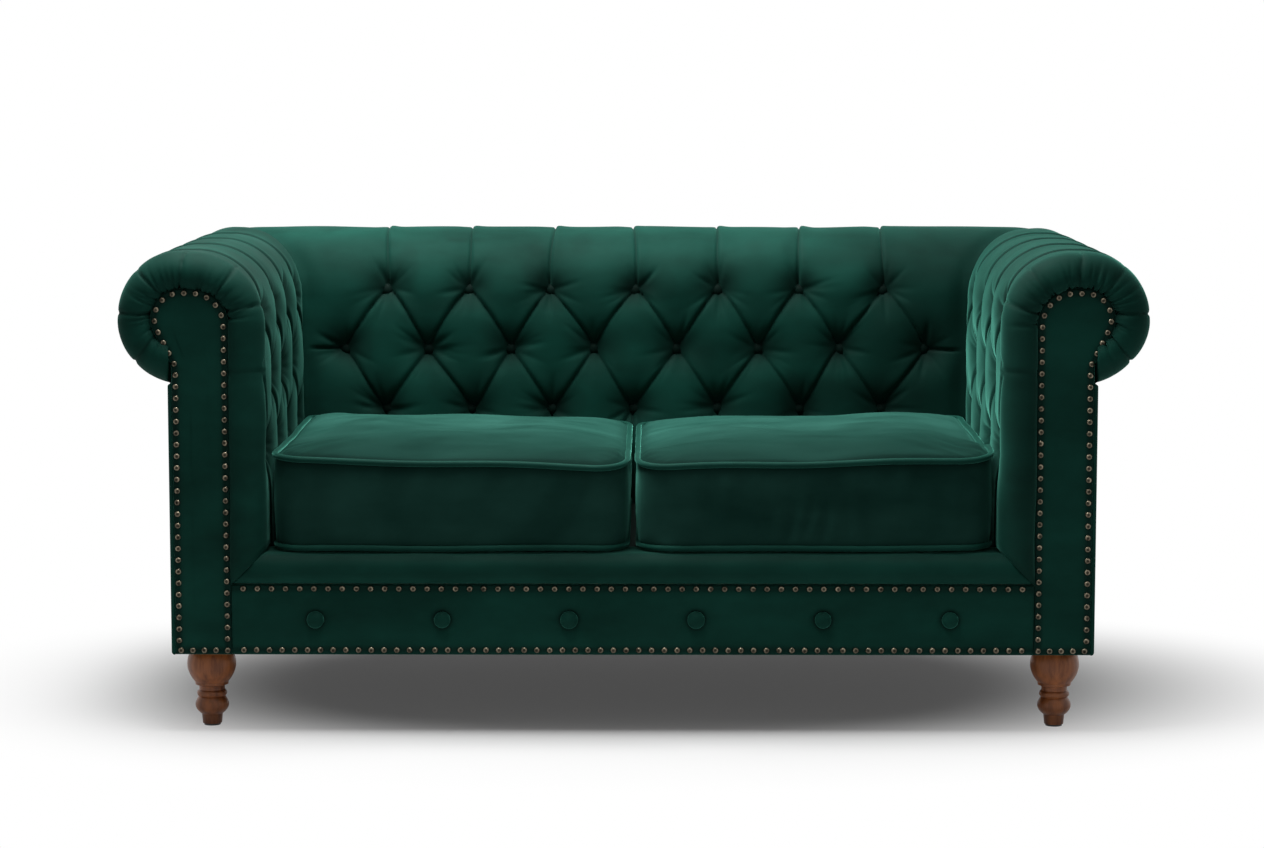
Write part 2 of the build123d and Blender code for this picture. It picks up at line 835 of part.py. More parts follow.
with BuildPart() as cushion_core_left:
    add(cushion_body(cover_thickness + fit))
    add(cushion_piping_left.part, mode=Mode.SUBTRACT)

with BuildPart() as zip_tape_left:
    add(zip_window)
    add(
        slab(
            (cushion_x - zip_half, cushion_x + zip_half),
            (zip_y, zip_y + chain_depth),
            (zip_z - chain_height / 2, zip_z + chain_height / 2),
        )
    )

slider_x = cushion_x - zip_half + slider_length
slider_inner = zip_y + chain_depth + fit
with BuildPart() as zip_slider_left:
    add(
        slab(
            (slider_x - slider_length / 2, slider_x + slider_length / 2),
            (zip_y + fit, slider_inner + slider_depth),
            (zip_z - slider_height / 2, zip_z + slider_height / 2),
        )
    )
    add(
        slab(
            (slider_x - slider_length, slider_x + slider_length),
            (zip_y, slider_inner),
            (zip_z - chain_height / 2 - slide_fit, zip_z + chain_height / 2 + slide_fit),
        ),
        mode=Mode.SUBTRACT,
    )
    add(
        slab(
            (slider_x - tab_width / 2, slider_x + tab_width / 2),
            (slider_inner, slider_inner + slider_depth),
            (zip_z - tab_length, zip_z),
        )
    )

with BuildPart() as cushion_piping_right:
    mirror(cushion_piping_left.part, about=Plane.YZ)

with BuildPart() as cushion_cover_right:
    mirror(cushion_cover_left.part, about=Plane.YZ)

with BuildPart() as cushion_core_right:
    mirror(cushion_core_left.part, about=Plane.YZ)

with BuildPart() as zip_tape_right:
    mirror(zip_tape_left.part, about=Plane.YZ)

with BuildPart() as zip_slider_right:
    mirror(zip_slider_left.part, about=Plane.YZ)

pieces = {
    "front_rail": front_rail,
    "back_rail": back_rail,
    "side_rails": side_rails,
    "centre_stretcher": centre_stretcher,
    "corner_blocks": corner_blocks,
    "rear_corner_posts": rear_corner_posts,
    "arm_front_panel_left": arm_front_panel_left,
    "arm_front_panel_right": arm_front_panel_right,
    "arm_rear_panels": arm_rear_panels,
    "arm_top_rails": arm_top_rails,
    "arm_roll_slats": arm_roll_slats,
    "arm_tack_rails": arm_tack_rails,
    "arm_inner_boards": arm_inner_boards,
    "back_end_panels": back_end_panels,
    "back_top_rail": back_top_rail,
    "back_roll_slat": back_roll_slat,
    "back_tack_rail": back_tack_rail,
    "back_centre_post": back_centre_post,
    "back_inner_board": back_inner_board,
    "seat_springs": seat_springs,
    "spring_clips": spring_clips,
    "deck_cloth": deck_cloth,
    "deck_pad": deck_pad,
    "dust_cover": dust_cover,
    "back_pad": back_pad,
    "arm_pad_left": arm_pad_left,
    "arm_pad_right": arm_pad_right,
    "back_buttons": back_buttons,
    "arm_buttons_left": arm_buttons_left,
    "arm_buttons_right": arm_buttons_right,
    "tufting_twine": tufting_twine,
    "outside_arm_left": outside_arm_left,
    "outside_arm_right": outside_arm_right,
    "outside_back": outside_back,
    "arm_facing_left": arm_facing_left,
    "arm_facing_right": arm_facing_right,
    "rail_cover": rail_cover,
    "rail_buttons": rail_buttons,
    "front_border": front_border,
    "facing_nails_left": facing_nails_left,
    "facing_nails_right": facing_nails_right,
    "rail_nails": rail_nails,
    "foot_bolts": foot_bolts,
    "tee_nuts": tee_nuts,
    "foot_glides": foot_glides,
    "cushion_cover_left": cushion_cover_left,
    "cushion_cover_right": cushion_cover_right,
    "cushion_core_left": cushion_core_left,
    "cushion_core_right": cushion_core_right,
    "cushion_piping_left": cushion_piping_left,
    "cushion_piping_right": cushion_piping_right,
    "zip_tape_left": zip_tape_left,
    "zip_tape_right": zip_tape_right,
    "zip_slider_left": zip_slider_left,
    "zip_slider_right": zip_slider_right,
}
pieces.update(feet)

for name, piece in pieces.items():
    piece.part.label = name
    export_step(piece.part, f"parts/{name}.step")
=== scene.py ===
import math

import bmesh
import bpy
import numpy as np
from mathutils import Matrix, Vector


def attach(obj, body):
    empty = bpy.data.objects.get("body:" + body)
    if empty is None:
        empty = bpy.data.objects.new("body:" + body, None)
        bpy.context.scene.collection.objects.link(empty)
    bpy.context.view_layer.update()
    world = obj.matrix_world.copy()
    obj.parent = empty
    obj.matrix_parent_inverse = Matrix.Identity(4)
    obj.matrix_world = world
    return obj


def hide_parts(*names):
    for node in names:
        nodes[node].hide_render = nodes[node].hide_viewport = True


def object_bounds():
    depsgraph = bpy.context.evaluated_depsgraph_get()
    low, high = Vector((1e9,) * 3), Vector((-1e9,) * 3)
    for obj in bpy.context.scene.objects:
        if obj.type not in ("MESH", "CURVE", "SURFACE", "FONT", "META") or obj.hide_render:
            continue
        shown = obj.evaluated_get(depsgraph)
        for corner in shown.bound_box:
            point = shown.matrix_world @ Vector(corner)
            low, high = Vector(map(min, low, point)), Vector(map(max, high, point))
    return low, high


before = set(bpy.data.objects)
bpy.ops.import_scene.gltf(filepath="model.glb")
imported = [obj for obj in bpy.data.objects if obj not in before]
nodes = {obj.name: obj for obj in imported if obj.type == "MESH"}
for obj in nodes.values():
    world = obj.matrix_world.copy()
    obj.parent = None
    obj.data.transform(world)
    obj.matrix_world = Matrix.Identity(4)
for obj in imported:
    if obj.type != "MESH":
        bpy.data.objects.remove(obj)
cadLow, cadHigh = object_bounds()
print("frame in place,", len(nodes), "nodes")


# a value that is a socket is linked, any other value is set
def wire(tree, node, values):
    for socket, value in values.items():
        if isinstance(value, bpy.types.NodeSocket):
            tree.links.new(value, node.inputs[socket])
        else:
            node.inputs[socket].default_value = value
    return node


def addNode(tree, kind, values=None, **settings):
    node = tree.nodes.new(kind)
    for key, value in settings.items():
        setattr(node, key, value)
    return wire(tree, node, values or {})


# finishes: two tones, grain size and stretch, gloss range, bump height
finishes = {
    "velvet": {
        "dark": (0.0013, 0.0205, 0.0144), "light": (0.0036, 0.0440, 0.0315), "scale": 6.0, "stretch": (1.0, 1.0, 1.6),
        "gloss": (0.62, 0.85), "bump": 0.00022, "fine": 850.0, "sheen": 0.62, "sheenTint": (0.15, 0.60, 0.46),
        "streak": (3.5, 17.0, 15.0), "specular": 0.07,
    },
    # a darker copy of the velvet for the wall buttons: painted shade of their hollows
    "shadedButtonVelvet": {
        "dark": (0.0004, 0.0042, 0.0030), "light": (0.0010, 0.0090, 0.0065), "scale": 40.0, "stretch": (1.0, 1.0, 1.0),
        "gloss": (0.62, 0.85), "bump": 0.00022, "fine": 850.0, "sheen": 0.08, "sheenTint": (0.14, 0.62, 0.47),
        "specular": 0.07,
    },
    "turnedWood": {
        "dark": (0.110, 0.028, 0.007), "light": (0.380, 0.125, 0.036), "scale": 9.0, "stretch": (9.0, 9.0, 1.0),
        "gloss": (0.30, 0.48), "bump": 0.00025, "fine": 60.0, "coat": 0.08, "specular": 0.3,
    },
    "bronze": {
        "dark": (0.058, 0.050, 0.036), "light": (0.300, 0.257, 0.185), "scale": 160.0, "stretch": (1, 1, 1),
        "gloss": (0.28, 0.50), "bump": 0.00008, "fine": 900.0, "metal": 1.0,
    },
    "timber": {
        "dark": (0.36, 0.22, 0.11), "light": (0.60, 0.42, 0.24), "scale": 7.0, "stretch": (1.0, 12.0, 12.0),
        "gloss": (0.55, 0.75), "bump": 0.0002, "fine": 120.0,
    },
    "plywood": {
        "dark": (0.40, 0.27, 0.15), "light": (0.62, 0.46, 0.29), "scale": 6.0, "stretch": (8.0, 40.0, 1.0),
        "gloss": (0.55, 0.78), "bump": 0.0002, "fine": 150.0,
    },
    "hardboard": {
        "dark": (0.16, 0.085, 0.042), "light": (0.25, 0.14, 0.075), "scale": 90.0, "stretch": (1, 1, 1),
        "gloss": (0.5, 0.7), "bump": 0.0001, "fine": 700.0,
    },
    "steel": {
        "dark": (0.30, 0.30, 0.31), "light": (0.58, 0.58, 0.60), "scale": 60.0, "stretch": (1, 1, 1),
        "gloss": (0.25, 0.42), "bump": 0.00005, "fine": 600.0, "metal": 1.0,
    },
    "blackCloth": {
        "dark": (0.010, 0.010, 0.011), "light": (0.028, 0.028, 0.030), "scale": 240.0, "stretch": (1, 1, 1),
        "gloss": (0.8, 0.95), "bump": 0.0002, "fine": 1400.0,
    },
    "deckCloth": {
        "dark": (0.006, 0.020, 0.016), "light": (0.014, 0.046, 0.036), "scale": 160.0, "stretch": (1.0, 6.0, 1.0),
        "gloss": (0.78, 0.92), "bump": 0.0002, "fine": 1100.0,
    },
    "nylon": {
        "dark": (0.020, 0.019, 0.018), "light": (0.050, 0.048, 0.045), "scale": 80.0, "stretch": (1, 1, 1),
        "gloss": (0.35, 0.5), "bump": 0.00005, "fine": 700.0,
    },
}


def makeFinish(name, spec):
    material = bpy.data.materials.new(name)
    material.use_nodes = True
    tree = material.node_tree
    place = addNode(tree, "ShaderNodeTexCoord").outputs["Object"]
    spread = addNode(tree, "ShaderNodeMapping", {"Vector": place, "Scale": spec["stretch"]}).outputs["Vector"]
    grain = {"Vector": spread, "Scale": spec["scale"], "Detail": 5.0, "Roughness": 0.62}
    tone = addNode(tree, "ShaderNodeTexNoise", grain).outputs["Fac"]
    shade, stops = tone, (0.30, 0.68)
    if "streak" in spec:  # brushed pile
        comb = addNode(tree, "ShaderNodeMapping", {"Vector": place, "Scale": spec["streak"]})
        stroke = {"Vector": comb.outputs["Vector"], "Scale": 1.0, "Detail": 4.0}
        brushed = addNode(tree, "ShaderNodeTexNoise", stroke)
        shade = addNode(tree, "ShaderNodeMix", {0: 0.5, 2: tone, 3: brushed.outputs["Fac"]}).outputs[0]
        stops = (0.34, 0.64)
    ramp = addNode(tree, "ShaderNodeValToRGB", {"Fac": shade})
    for stop, at, colour in zip(ramp.color_ramp.elements, stops, (spec["dark"], spec["light"])):
        stop.position, stop.color = at, (*colour, 1)
    smooth, rough = spec["gloss"]
    gloss = addNode(tree, "ShaderNodeMapRange", {"Value": tone, "To Min": rough, "To Max": smooth})
    fine = addNode(tree, "ShaderNodeTexNoise", {"Vector": spread, "Scale": spec["fine"], "Detail": 3.0})
    relief = {"Height": fine.outputs["Fac"], "Strength": 0.5, "Distance": spec["bump"]}
    looks = {
        "Base Color": ramp.outputs["Color"], "Roughness": gloss.outputs["Result"],
        "Normal": addNode(tree, "ShaderNodeBump", relief).outputs["Normal"],
        "Metallic": spec.get("metal", 0.0), "Specular IOR Level": spec.get("specular", 0.5),
    }
    if "coat" in spec:
        looks |= {"Coat Weight": spec["coat"], "Coat Roughness": 0.25}
    if "sheen" in spec:
        looks |= {"Sheen Weight": spec["sheen"], "Sheen Roughness": 0.36, "Sheen Tint": (*spec["sheenTint"], 1)}
    wire(tree, tree.nodes["Principled BSDF"], looks)
    return material


paint = {name: makeFinish(name, spec) for name, spec in finishes.items()}
print("finishes made:", len(paint))


# painted shade: the base colour is mixed toward a dark green by the piece's own attribute, which holds painted shade
# with some random pile tone; lift scales the base colour for lit copies
def shadedVelvet(name, sheen, lift=(1, 1, 1), gloss=finishes["velvet"]["specular"]):
    material = paint["velvet"].copy()
    material.name = name
    tree = material.node_tree
    ramp = tree.nodes["Color Ramp"]
    for stop in ramp.color_ramp.elements:
        stop.color = (*(k * c for k, c in zip(lift, stop.color[:3])), 1)
    shadeAndPile = addNode(tree, "ShaderNodeAttribute", attribute_name="shadeAndPile")
    # the dark green is the colour of the painted shade
    tones = {0: shadeAndPile.outputs["Fac"], 6: (0.0008, 0.0080, 0.0058, 1), 7: ramp.outputs["Color"]}
    shadeMix = addNode(tree, "ShaderNodeMix", tones, data_type="RGBA", blend_type="MIX")
    looks = {"Sheen Weight": sheen, "Specular IOR Level": gloss, "Base Color": shadeMix.outputs[2]}
    wire(tree, tree.nodes["Principled BSDF"], looks)
    return material


paint["velvetShaded"] = shadedVelvet("velvetShaded", finishes["velvet"]["sheen"])
# a darker copy with little sheen: painted shade for the left arm
paint["velvetShadedArm"] = shadedVelvet("velvetShadedArm", 0.14)
# a lit copy for the cushions: base colour lifted and redder, with painted shade still mixed in by the attribute
paint["velvetLitCushion"] = shadedVelvet("velvetLitCushion", 0.42, (8.0, 2.5, 2.75), 0.015)


# nail heads: painted reflection, a bright ring between a dark crown and a dark rim, by the head's own height
def nailBronze():
    material = paint["bronze"].copy()
    material.name = "nailBronze"
    tree = material.node_tree
    dome = addNode(tree, "ShaderNodeAttribute", attribute_name="dome")
    paintedRing = addNode(tree, "ShaderNodeValToRGB", {"Fac": dome.outputs["Fac"]})
    for stop, at, grey in zip(paintedRing.color_ramp.elements, (0.30, 0.95), (0.10, 0.12)):
        stop.position, stop.color = at, (grey, grey, grey, 1)
    paintedRing.color_ramp.elements.new(0.66).color = (1, 1, 1, 1)
    tones = {0: 1.0, 6: tree.nodes["Color Ramp"].outputs["Color"], 7: paintedRing.outputs["Color"]}
    shadeMix = addNode(tree, "ShaderNodeMix", tones, data_type="RGBA", blend_type="MULTIPLY")
    wire(tree, tree.nodes["Principled BSDF"], {"Base Color": shadeMix.outputs[2]})
    return material


paint["nailBronze"] = nailBronze()


def piece(name, verts, faces, finish, shadeAndPile=None):
    mesh = bpy.data.meshes.new(name)
    mesh.from_pydata(np.asarray(verts, float).tolist(), [], [tuple(f) for f in faces])
    mesh.update()
    mesh.materials.append(paint[finish])
    mesh.polygons.foreach_set("use_smooth", np.ones(len(mesh.polygons), bool))
    if shadeAndPile is not None:
        mesh.attributes.new("shadeAndPile", "FLOAT", "POINT").data.foreach_set("value", np.asarray(shadeAndPile, np.float32))
    obj = bpy.data.objects.new(name, mesh)
    bpy.context.collection.objects.link(obj)
    return obj


def turnOutward(obj):
    bm = bmesh.new()
    bm.from_mesh(obj.data)
    bmesh.ops.recalc_face_normals(bm, faces=bm.faces)
    if bm.calc_volume(signed=True) < 0:
        bmesh.ops.reverse_faces(bm, faces=bm.faces)
    bm.to_mesh(obj.data)
    bm.free()


def give(obj, body, slotName, *replaced):
    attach(obj, body)
    if replaced:
        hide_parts(*replaced)
    return obj


def gridFaces(rows, cols, height=None):
    a = np.arange(rows - 1)[:, None] * cols + np.arange(cols - 1)[None, :]
    b, c, d = a + 1, a + cols + 1, a + cols
    if height is None:
        return np.stack([a, b, c, d], -1).reshape(-1, 4).tolist()
    # the dividing edge runs along the crease
    low = (height[:-1, :-1] + height[1:, 1:]) <= (height[:-1, 1:] + height[1:, :-1])
    first = np.where(low[..., None], np.stack([a, b, c], -1), np.stack([a, b, d], -1))
    second = np.where(low[..., None], np.stack([a, c, d], -1), np.stack([b, c, d], -1))
    return np.concatenate([first.reshape(-1, 3), second.reshape(-1, 3)]).tolist()


def tubeFaces(rings, count):
    return [
        (base + k, base + (k + 1) % count, base + count + (k + 1) % count, base + count + k)
        for base in range(0, (rings - 1) * count, count) for k in range(count)
    ]


def rimLoop(rows, cols):
    grid = np.arange(rows * cols).reshape(rows, cols)
    return np.concatenate([grid[0, :-1], grid[:-1, -1], grid[-1, :0:-1], grid[:0:-1, 0]])


def ease(x, low, high):
    t = np.clip((x - low) / (high - low), 0, 1)
    return t * t * (3 - 2 * t)


def waves(u, v, seed, longest, shortest, count=7):
    rng = np.random.default_rng(seed)
    total = np.zeros(np.broadcast(u, v).shape)
    for _ in range(count):
        size = rng.uniform(shortest, longest)
        turn = rng.uniform(0, math.pi)
        run = u * math.cos(turn) + v * math.sin(turn)
        total = total + np.sin(run * 2 * math.pi / size + rng.uniform(0, 6.28))
    return total / math.sqrt(count)


# wall of the sofa: straight inside face, shoulder, flat top and outward roll
wall = {
    "innerX": 0.565, "backInner": 0.195, "low": 0.232, "shoulderZ": 0.634, "shoulderR": 0.112,
    "rollOut": 0.128, "rollZ": 0.644, "rollR": 0.102, "rollEnd": math.radians(77.5), "neckDraw": 0.0028,
}
straightRun = wall["shoulderZ"] - wall["low"]
shoulderRun = wall["shoulderR"] * math.pi / 2
flatRun = wall["rollOut"] - wall["shoulderR"]
rollRun = wall["rollR"] * (math.pi / 2 + wall["rollEnd"])
wallRun = straightRun + shoulderRun + flatRun + rollRun


def wallPoint(v, inset):
    v, inset = np.broadcast_arrays(np.asarray(v, float), np.asarray(inset, float))
    shoulder = math.pi - np.clip((v - straightRun) / wall["shoulderR"], 0, math.pi / 2)
    reach = wall["rollR"] * math.cos(wall["rollEnd"]) - wall["neckDraw"] * np.clip(inset / 0.038, 0, 1)
    neck = np.arccos(reach / (wall["rollR"] - inset))  # the roll ends under its neck at any inset
    roll = math.pi / 2 - np.clip((v - straightRun - shoulderRun - flatRun) / rollRun, 0, 1) * (math.pi / 2 + neck)
    onShoulder = v <= straightRun + shoulderRun
    onRoll = v >= straightRun + shoulderRun + flatRun
    turn = np.where(onShoulder, shoulder, np.where(onRoll, roll, math.pi / 2))
    radius = np.where(onRoll, wall["rollR"], wall["shoulderR"]) - inset
    flat = np.clip(v - straightRun - shoulderRun, 0, flatRun)
    s = wall["shoulderR"] + flat + radius * np.cos(turn)
    z = np.where(onRoll, wall["rollZ"], wall["shoulderZ"]) + radius * np.sin(turn) + np.minimum(v - straightRun, 0)
    return s, z, np.cos(turn), np.sin(turn)


# buttoned diamonds: broad valleys, a sharp fold with a lip, and deep button hollows
tuft = {
    "rows": (0.414, 0.310, 0.206), "backPitch": 0.142, "armPitch": 0.152, "armFirst": -0.335, "steps": 56,
    "valley": 0.0054, "valleyR": 0.052, "fold": 0.0036, "foldR": 0.0050, "bow": 0.0048, "lip": 0.0020, "lipR": 0.0060,
    "dimple": 0.0200, "dimpleR": 0.0275, "shade": 0.92, "shadeR": 0.033, "shadeUp": 0.007, "sink": 0.0255,
    "wrinkles": 11, "wrinkle": 0.0024, "wrinkleR": 0.026, "wrinkleWide": 0.0042, "wander": 0.0012, "brushed": 0.20,
}
backTop = [(i - 3) * tuft["backPitch"] for i in range(7)]
backMid = [(i - 3.5) * tuft["backPitch"] for i in range(8)]
armTop = [tuft["armFirst"] + i * tuft["armPitch"] for i in range(4)]
armMid = [tuft["armFirst"] + (i + 0.5) * tuft["armPitch"] for i in range(3)]


def buttonSpots(tops, mids):
    top, mid, low = tuft["rows"]
    return [(t, top) for t in tops] + [(m, mid) for m in mids] + [(t, low) for t in tops]


def diamondFolds(tops, mids, pitch):
    top, mid, low = tuft["rows"]
    folds = []
    for t in tops:
        folds += [(t, top, t, wallRun), (t, low, t, 0.0)]
        for m in mids:
            if abs(t - m) < pitch * 0.6:
                folds += [(t, top, m, mid, tuft["bow"]), (t, low, m, mid, tuft["bow"] * 0.3)]
    return folds


def crownFall(near):
    return np.sqrt(np.clip(1 - (1 - np.clip(near, 0, 1)) ** 2, 0, 1)) - 1


def tuftDepth(u, v, folds, spots, seed, calm):
    broad, lip = np.full(u.shape, 9.0), np.zeros(u.shape)
    for u0, v0, u1, v1, *bow in folds:
        du, dv = u1 - u0, v1 - v0
        run = math.hypot(du, dv)
        free = ((u - u0) * du + (v - v0) * dv) / run
        t = np.clip(free / run, 0, 1)
        # to the upper side, or to the right of an upright fold
        up = 1 if du > 1e-6 or (abs(du) <= 1e-6 and dv < 0) else -1
        off = up * ((v - v0) * du - (u - u0) * dv) / run - (4 * bow[0] * t * (1 - t) if bow else 0)
        away = np.hypot(off, free - t * run)
        broad = np.minimum(broad, away)
        lip = np.maximum(lip, (off > 1e-5) * away / tuft["lipR"] * np.exp(1 - away / tuft["lipR"]))
    sharp = broad / tuft["foldR"]
    roll = ease(v, 0.44, 0.58)
    depth = tuft["valley"] * crownFall(broad / tuft["valleyR"]) * (1 - 0.72 * roll) * calm
    depth += tuft["fold"] * crownFall(sharp) * (1 - 0.15 * roll) * (0.4 + 0.6 * calm)
    depth += tuft["lip"] * lip * (1 + 0.20 * roll) * calm
    rng = np.random.default_rng(seed)
    # painted shade along the folds, stronger on the roll
    shadeAndPile = 1 - (0.18 + 0.60 * roll) * np.exp(-((sharp / 0.6) ** 2))
    # random brushed pile tone
    shadeAndPile = shadeAndPile * (1 - tuft["brushed"] * ease(waves(u, v, seed + 9, 0.20, 0.06), 0.3, 1.2))
    for bu, bv in spots:
        near = np.hypot(u - bu, v - bv)
        hit = near < 0.13
        r, angle = near[hit], np.arctan2(v[hit] - bv, u[hit] - bu)
        pull = -tuft["dimple"] * np.exp(-((r / tuft["dimpleR"]) ** 1.35))
        for _ in range(tuft["wrinkles"]):
            aim, size, reach = rng.uniform(-3.14, 3.14), rng.uniform(0.4, 1.0), rng.uniform(0.016, 0.030)
            off = (angle - aim + math.pi) % (2 * math.pi) - math.pi
            line = np.exp(-((off * r / tuft["wrinkleWide"]) ** 2)) * (np.abs(off) < 0.8)
            pull -= tuft["wrinkle"] * size * line * np.exp(-(((r - tuft["wrinkleR"]) / reach) ** 2))
        depth[hit] += pull
        # painted shade round each button, centred a little above it
        above = np.hypot(u[hit] - bu, v[hit] - bv - tuft["shadeUp"])
        shadeAndPile[hit] -= tuft["shade"] * np.exp(-((above / tuft["shadeR"]) ** 2))
    depth += tuft["wander"] * waves(u, v, seed + 10, 0.30, 0.09) * ease(broad, 0.004, 0.03)
    return depth, np.clip(shadeAndPile, 0, 1)


def wallRows(outerStep):
    step = (tuft["rows"][1] - tuft["rows"][2]) / 28
    low = np.linspace(0.0005, tuft["rows"][2] - 20 * step, 9)[:-1]
    middle = tuft["rows"][2] + np.arange(-20, 67) * step
    outer = np.linspace(middle[-1], wallRun, int((wallRun - middle[-1]) / outerStep) + 1)[1:]
    return np.concatenate([low, middle, outer])


def closedPad(grid, spine, height, frontLimit):
    rows, cols = grid.shape[:2]
    lowTurn, highTurn = grid[0].copy(), grid[-1].copy()
    for turned in (lowTurn, highTurn):
        turned[:, 1] = np.maximum(turned[:, 1] + 0.0005, frontLimit)  # edge tucked back behind the facing
    verts = np.vstack([grid.reshape(-1, 3), lowTurn, highTurn, spine])
    faces = gridFaces(rows, cols, height)
    last, low = (rows - 1) * cols, rows * cols
    high, hub = low + cols, low + 2 * cols
    for j in range(cols - 1):
        for rim, turned in ((0, low), (last, high)):
            faces.append((rim + j, rim + j + 1, turned + j + 1, turned + j))
            faces.append((turned + j, turned + j + 1, hub + j + 1, hub + j))
    for j, end in ((0, hub), (cols - 1, hub + cols - 1)):
        column = [low + j] + [i * cols + j for i in range(rows)] + [high + j]
        faces += [(column[i], column[i + 1], end) for i in range(len(column) - 1)]
    return verts, faces


# mitred corners, and the hidden spine that closes each pad from behind
pad = {
    "mitre": 0.006, "mitreR": 0.020, "mitreSteps": 20, "holdR": 0.06, "spine": 0.088, "spineZ": 0.5,
    "frontLimit": -0.392, "backShade": 0.45, "fill": 0.8,
}


def finishPad(name, node, grid, spine, depth, shadeAndPile, finish):
    verts, faces = closedPad(grid, spine, depth, pad["frontLimit"])
    obj = piece(name, verts, faces, finish, np.concatenate([shadeAndPile.ravel(), np.ones(3 * len(spine))]))
    turnOutward(obj)
    give(obj, "frame", "velvet", node)


def buildBack():
    v = wallRows(0.006)[:, None]
    step = tuft["backPitch"] / tuft["steps"]
    steps = pad["mitreSteps"]
    mid = np.arange(-222, 223) * step
    reach = mid[-1]
    out = np.linspace(0, 1, steps + 1)[1:]
    s, z, ns, nz = wallPoint(v, 0.0)
    side = np.concatenate([-np.ones(steps), np.zeros(len(mid)), np.ones(steps)])[None, :]
    part = np.concatenate([out[::-1], np.zeros(len(mid)), out])[None, :]
    base = np.concatenate([-np.full(steps, reach), mid, np.full(steps, reach)])[None, :]
    end = wall["innerX"] + s
    u = base + side * part * (end - reach)
    v2 = np.broadcast_to(v, u.shape)
    row = tuft["rows"][1]
    folds = diamondFolds(backTop, backMid, tuft["backPitch"])
    folds += [(backMid[0], row, -0.62, row), (backMid[-1], row, 0.62, row)]
    depth, shadeAndPile = tuftDepth(u, v2, folds, buttonSpots(backTop, backMid), 11, np.ones(u.shape))
    # painted shade: the back darkens toward its right end
    shadeAndPile = shadeAndPile * (1 - pad["backShade"] * ease(u, 0.30, 0.52))
    corner = np.exp(-(((end - np.abs(u)) / pad["mitreR"]) ** 2))
    depth = depth * (1 - corner) - pad["mitre"] * corner
    hold = 1 - np.exp(-(((end - np.abs(u)) / pad["holdR"]) ** 2))
    drift = 0.0030 * waves(u, v2, 31, 0.40, 0.16) * hold
    lift = 0.0022 * waves(u, v2, 32, 0.40, 0.16) * ease(v2, 0.03, 0.12) * (1 - ease(v2, 0.45, 0.55))
    s, z, ns, nz = wallPoint(v2 + lift, 0.0)
    sOut, zOut = s + depth * ns, z + depth * nz
    x = np.where(part > 0, side * (reach + part * (wall["innerX"] + sOut - reach)), u) + drift
    grid = np.stack([x, wall["backInner"] + sOut, zOut], -1)
    spineX = (base + side * part * (wall["innerX"] + pad["spine"] - reach))[0]
    spine = np.full((len(spineX), 3), (0, wall["backInner"] + pad["spine"], pad["spineZ"]))
    spine[:, 0] = spineX
    finishPad("backTufting", "back_pad", grid, spine, depth, shadeAndPile, "velvetShaded")


# front of the arm, where the padding turns over the scroll
nose = {
    "rimR": 0.019, "frontR": 0.038, "crownY": -0.425, "pleats": (0.433, 0.506, 0.586, 0.666, 0.743, 0.825),
    "pleatDepth": 0.0034, "pleatWidth": 0.0062, "pleatValley": 0.0018, "gather": 0.0030, "gathers": 60,
    "sidePleat": 0.331, "sideY": -0.398, "borderY": -0.336, "overBorder": 0.055, "lowEdge": 0.036, "lowBlend": 0.15,
}


def noseFolds(u, v, seed):
    rng = np.random.default_rng(seed)
    fade = 1 - ease(u, -0.400, -0.335)
    depth, shadeAndPile = np.zeros(u.shape), np.zeros(u.shape)
    for at in nose["pleats"]:
        lean = at + rng.uniform(-0.006, 0.006) + (u + 0.43) * rng.uniform(-0.15, 0.15)
        off = np.abs(v - lean)
        fold = nose["pleatDepth"] * crownFall(off / nose["pleatWidth"])
        fold = fold + nose["pleatValley"] * crownFall(off / 0.030)
        depth = np.minimum(depth, fold * fade)
        # painted shade along each nose pleat
        shadeAndPile = np.maximum(shadeAndPile, np.exp(-((off / 0.004) ** 2)) * fade)
    for _ in range(nose["gathers"]):
        at, size = rng.uniform(0.40, 0.87), rng.uniform(0.3, 1.0)
        reach, lean = rng.uniform(0.018, 0.045), rng.uniform(-0.15, 0.15)
        line = np.exp(-(((v - at - (u + 0.466) * lean) / 0.0030) ** 2))
        depth -= nose["gather"] * size * line * np.exp(-(((u + 0.470) / reach) ** 2))
    return depth, shadeAndPile


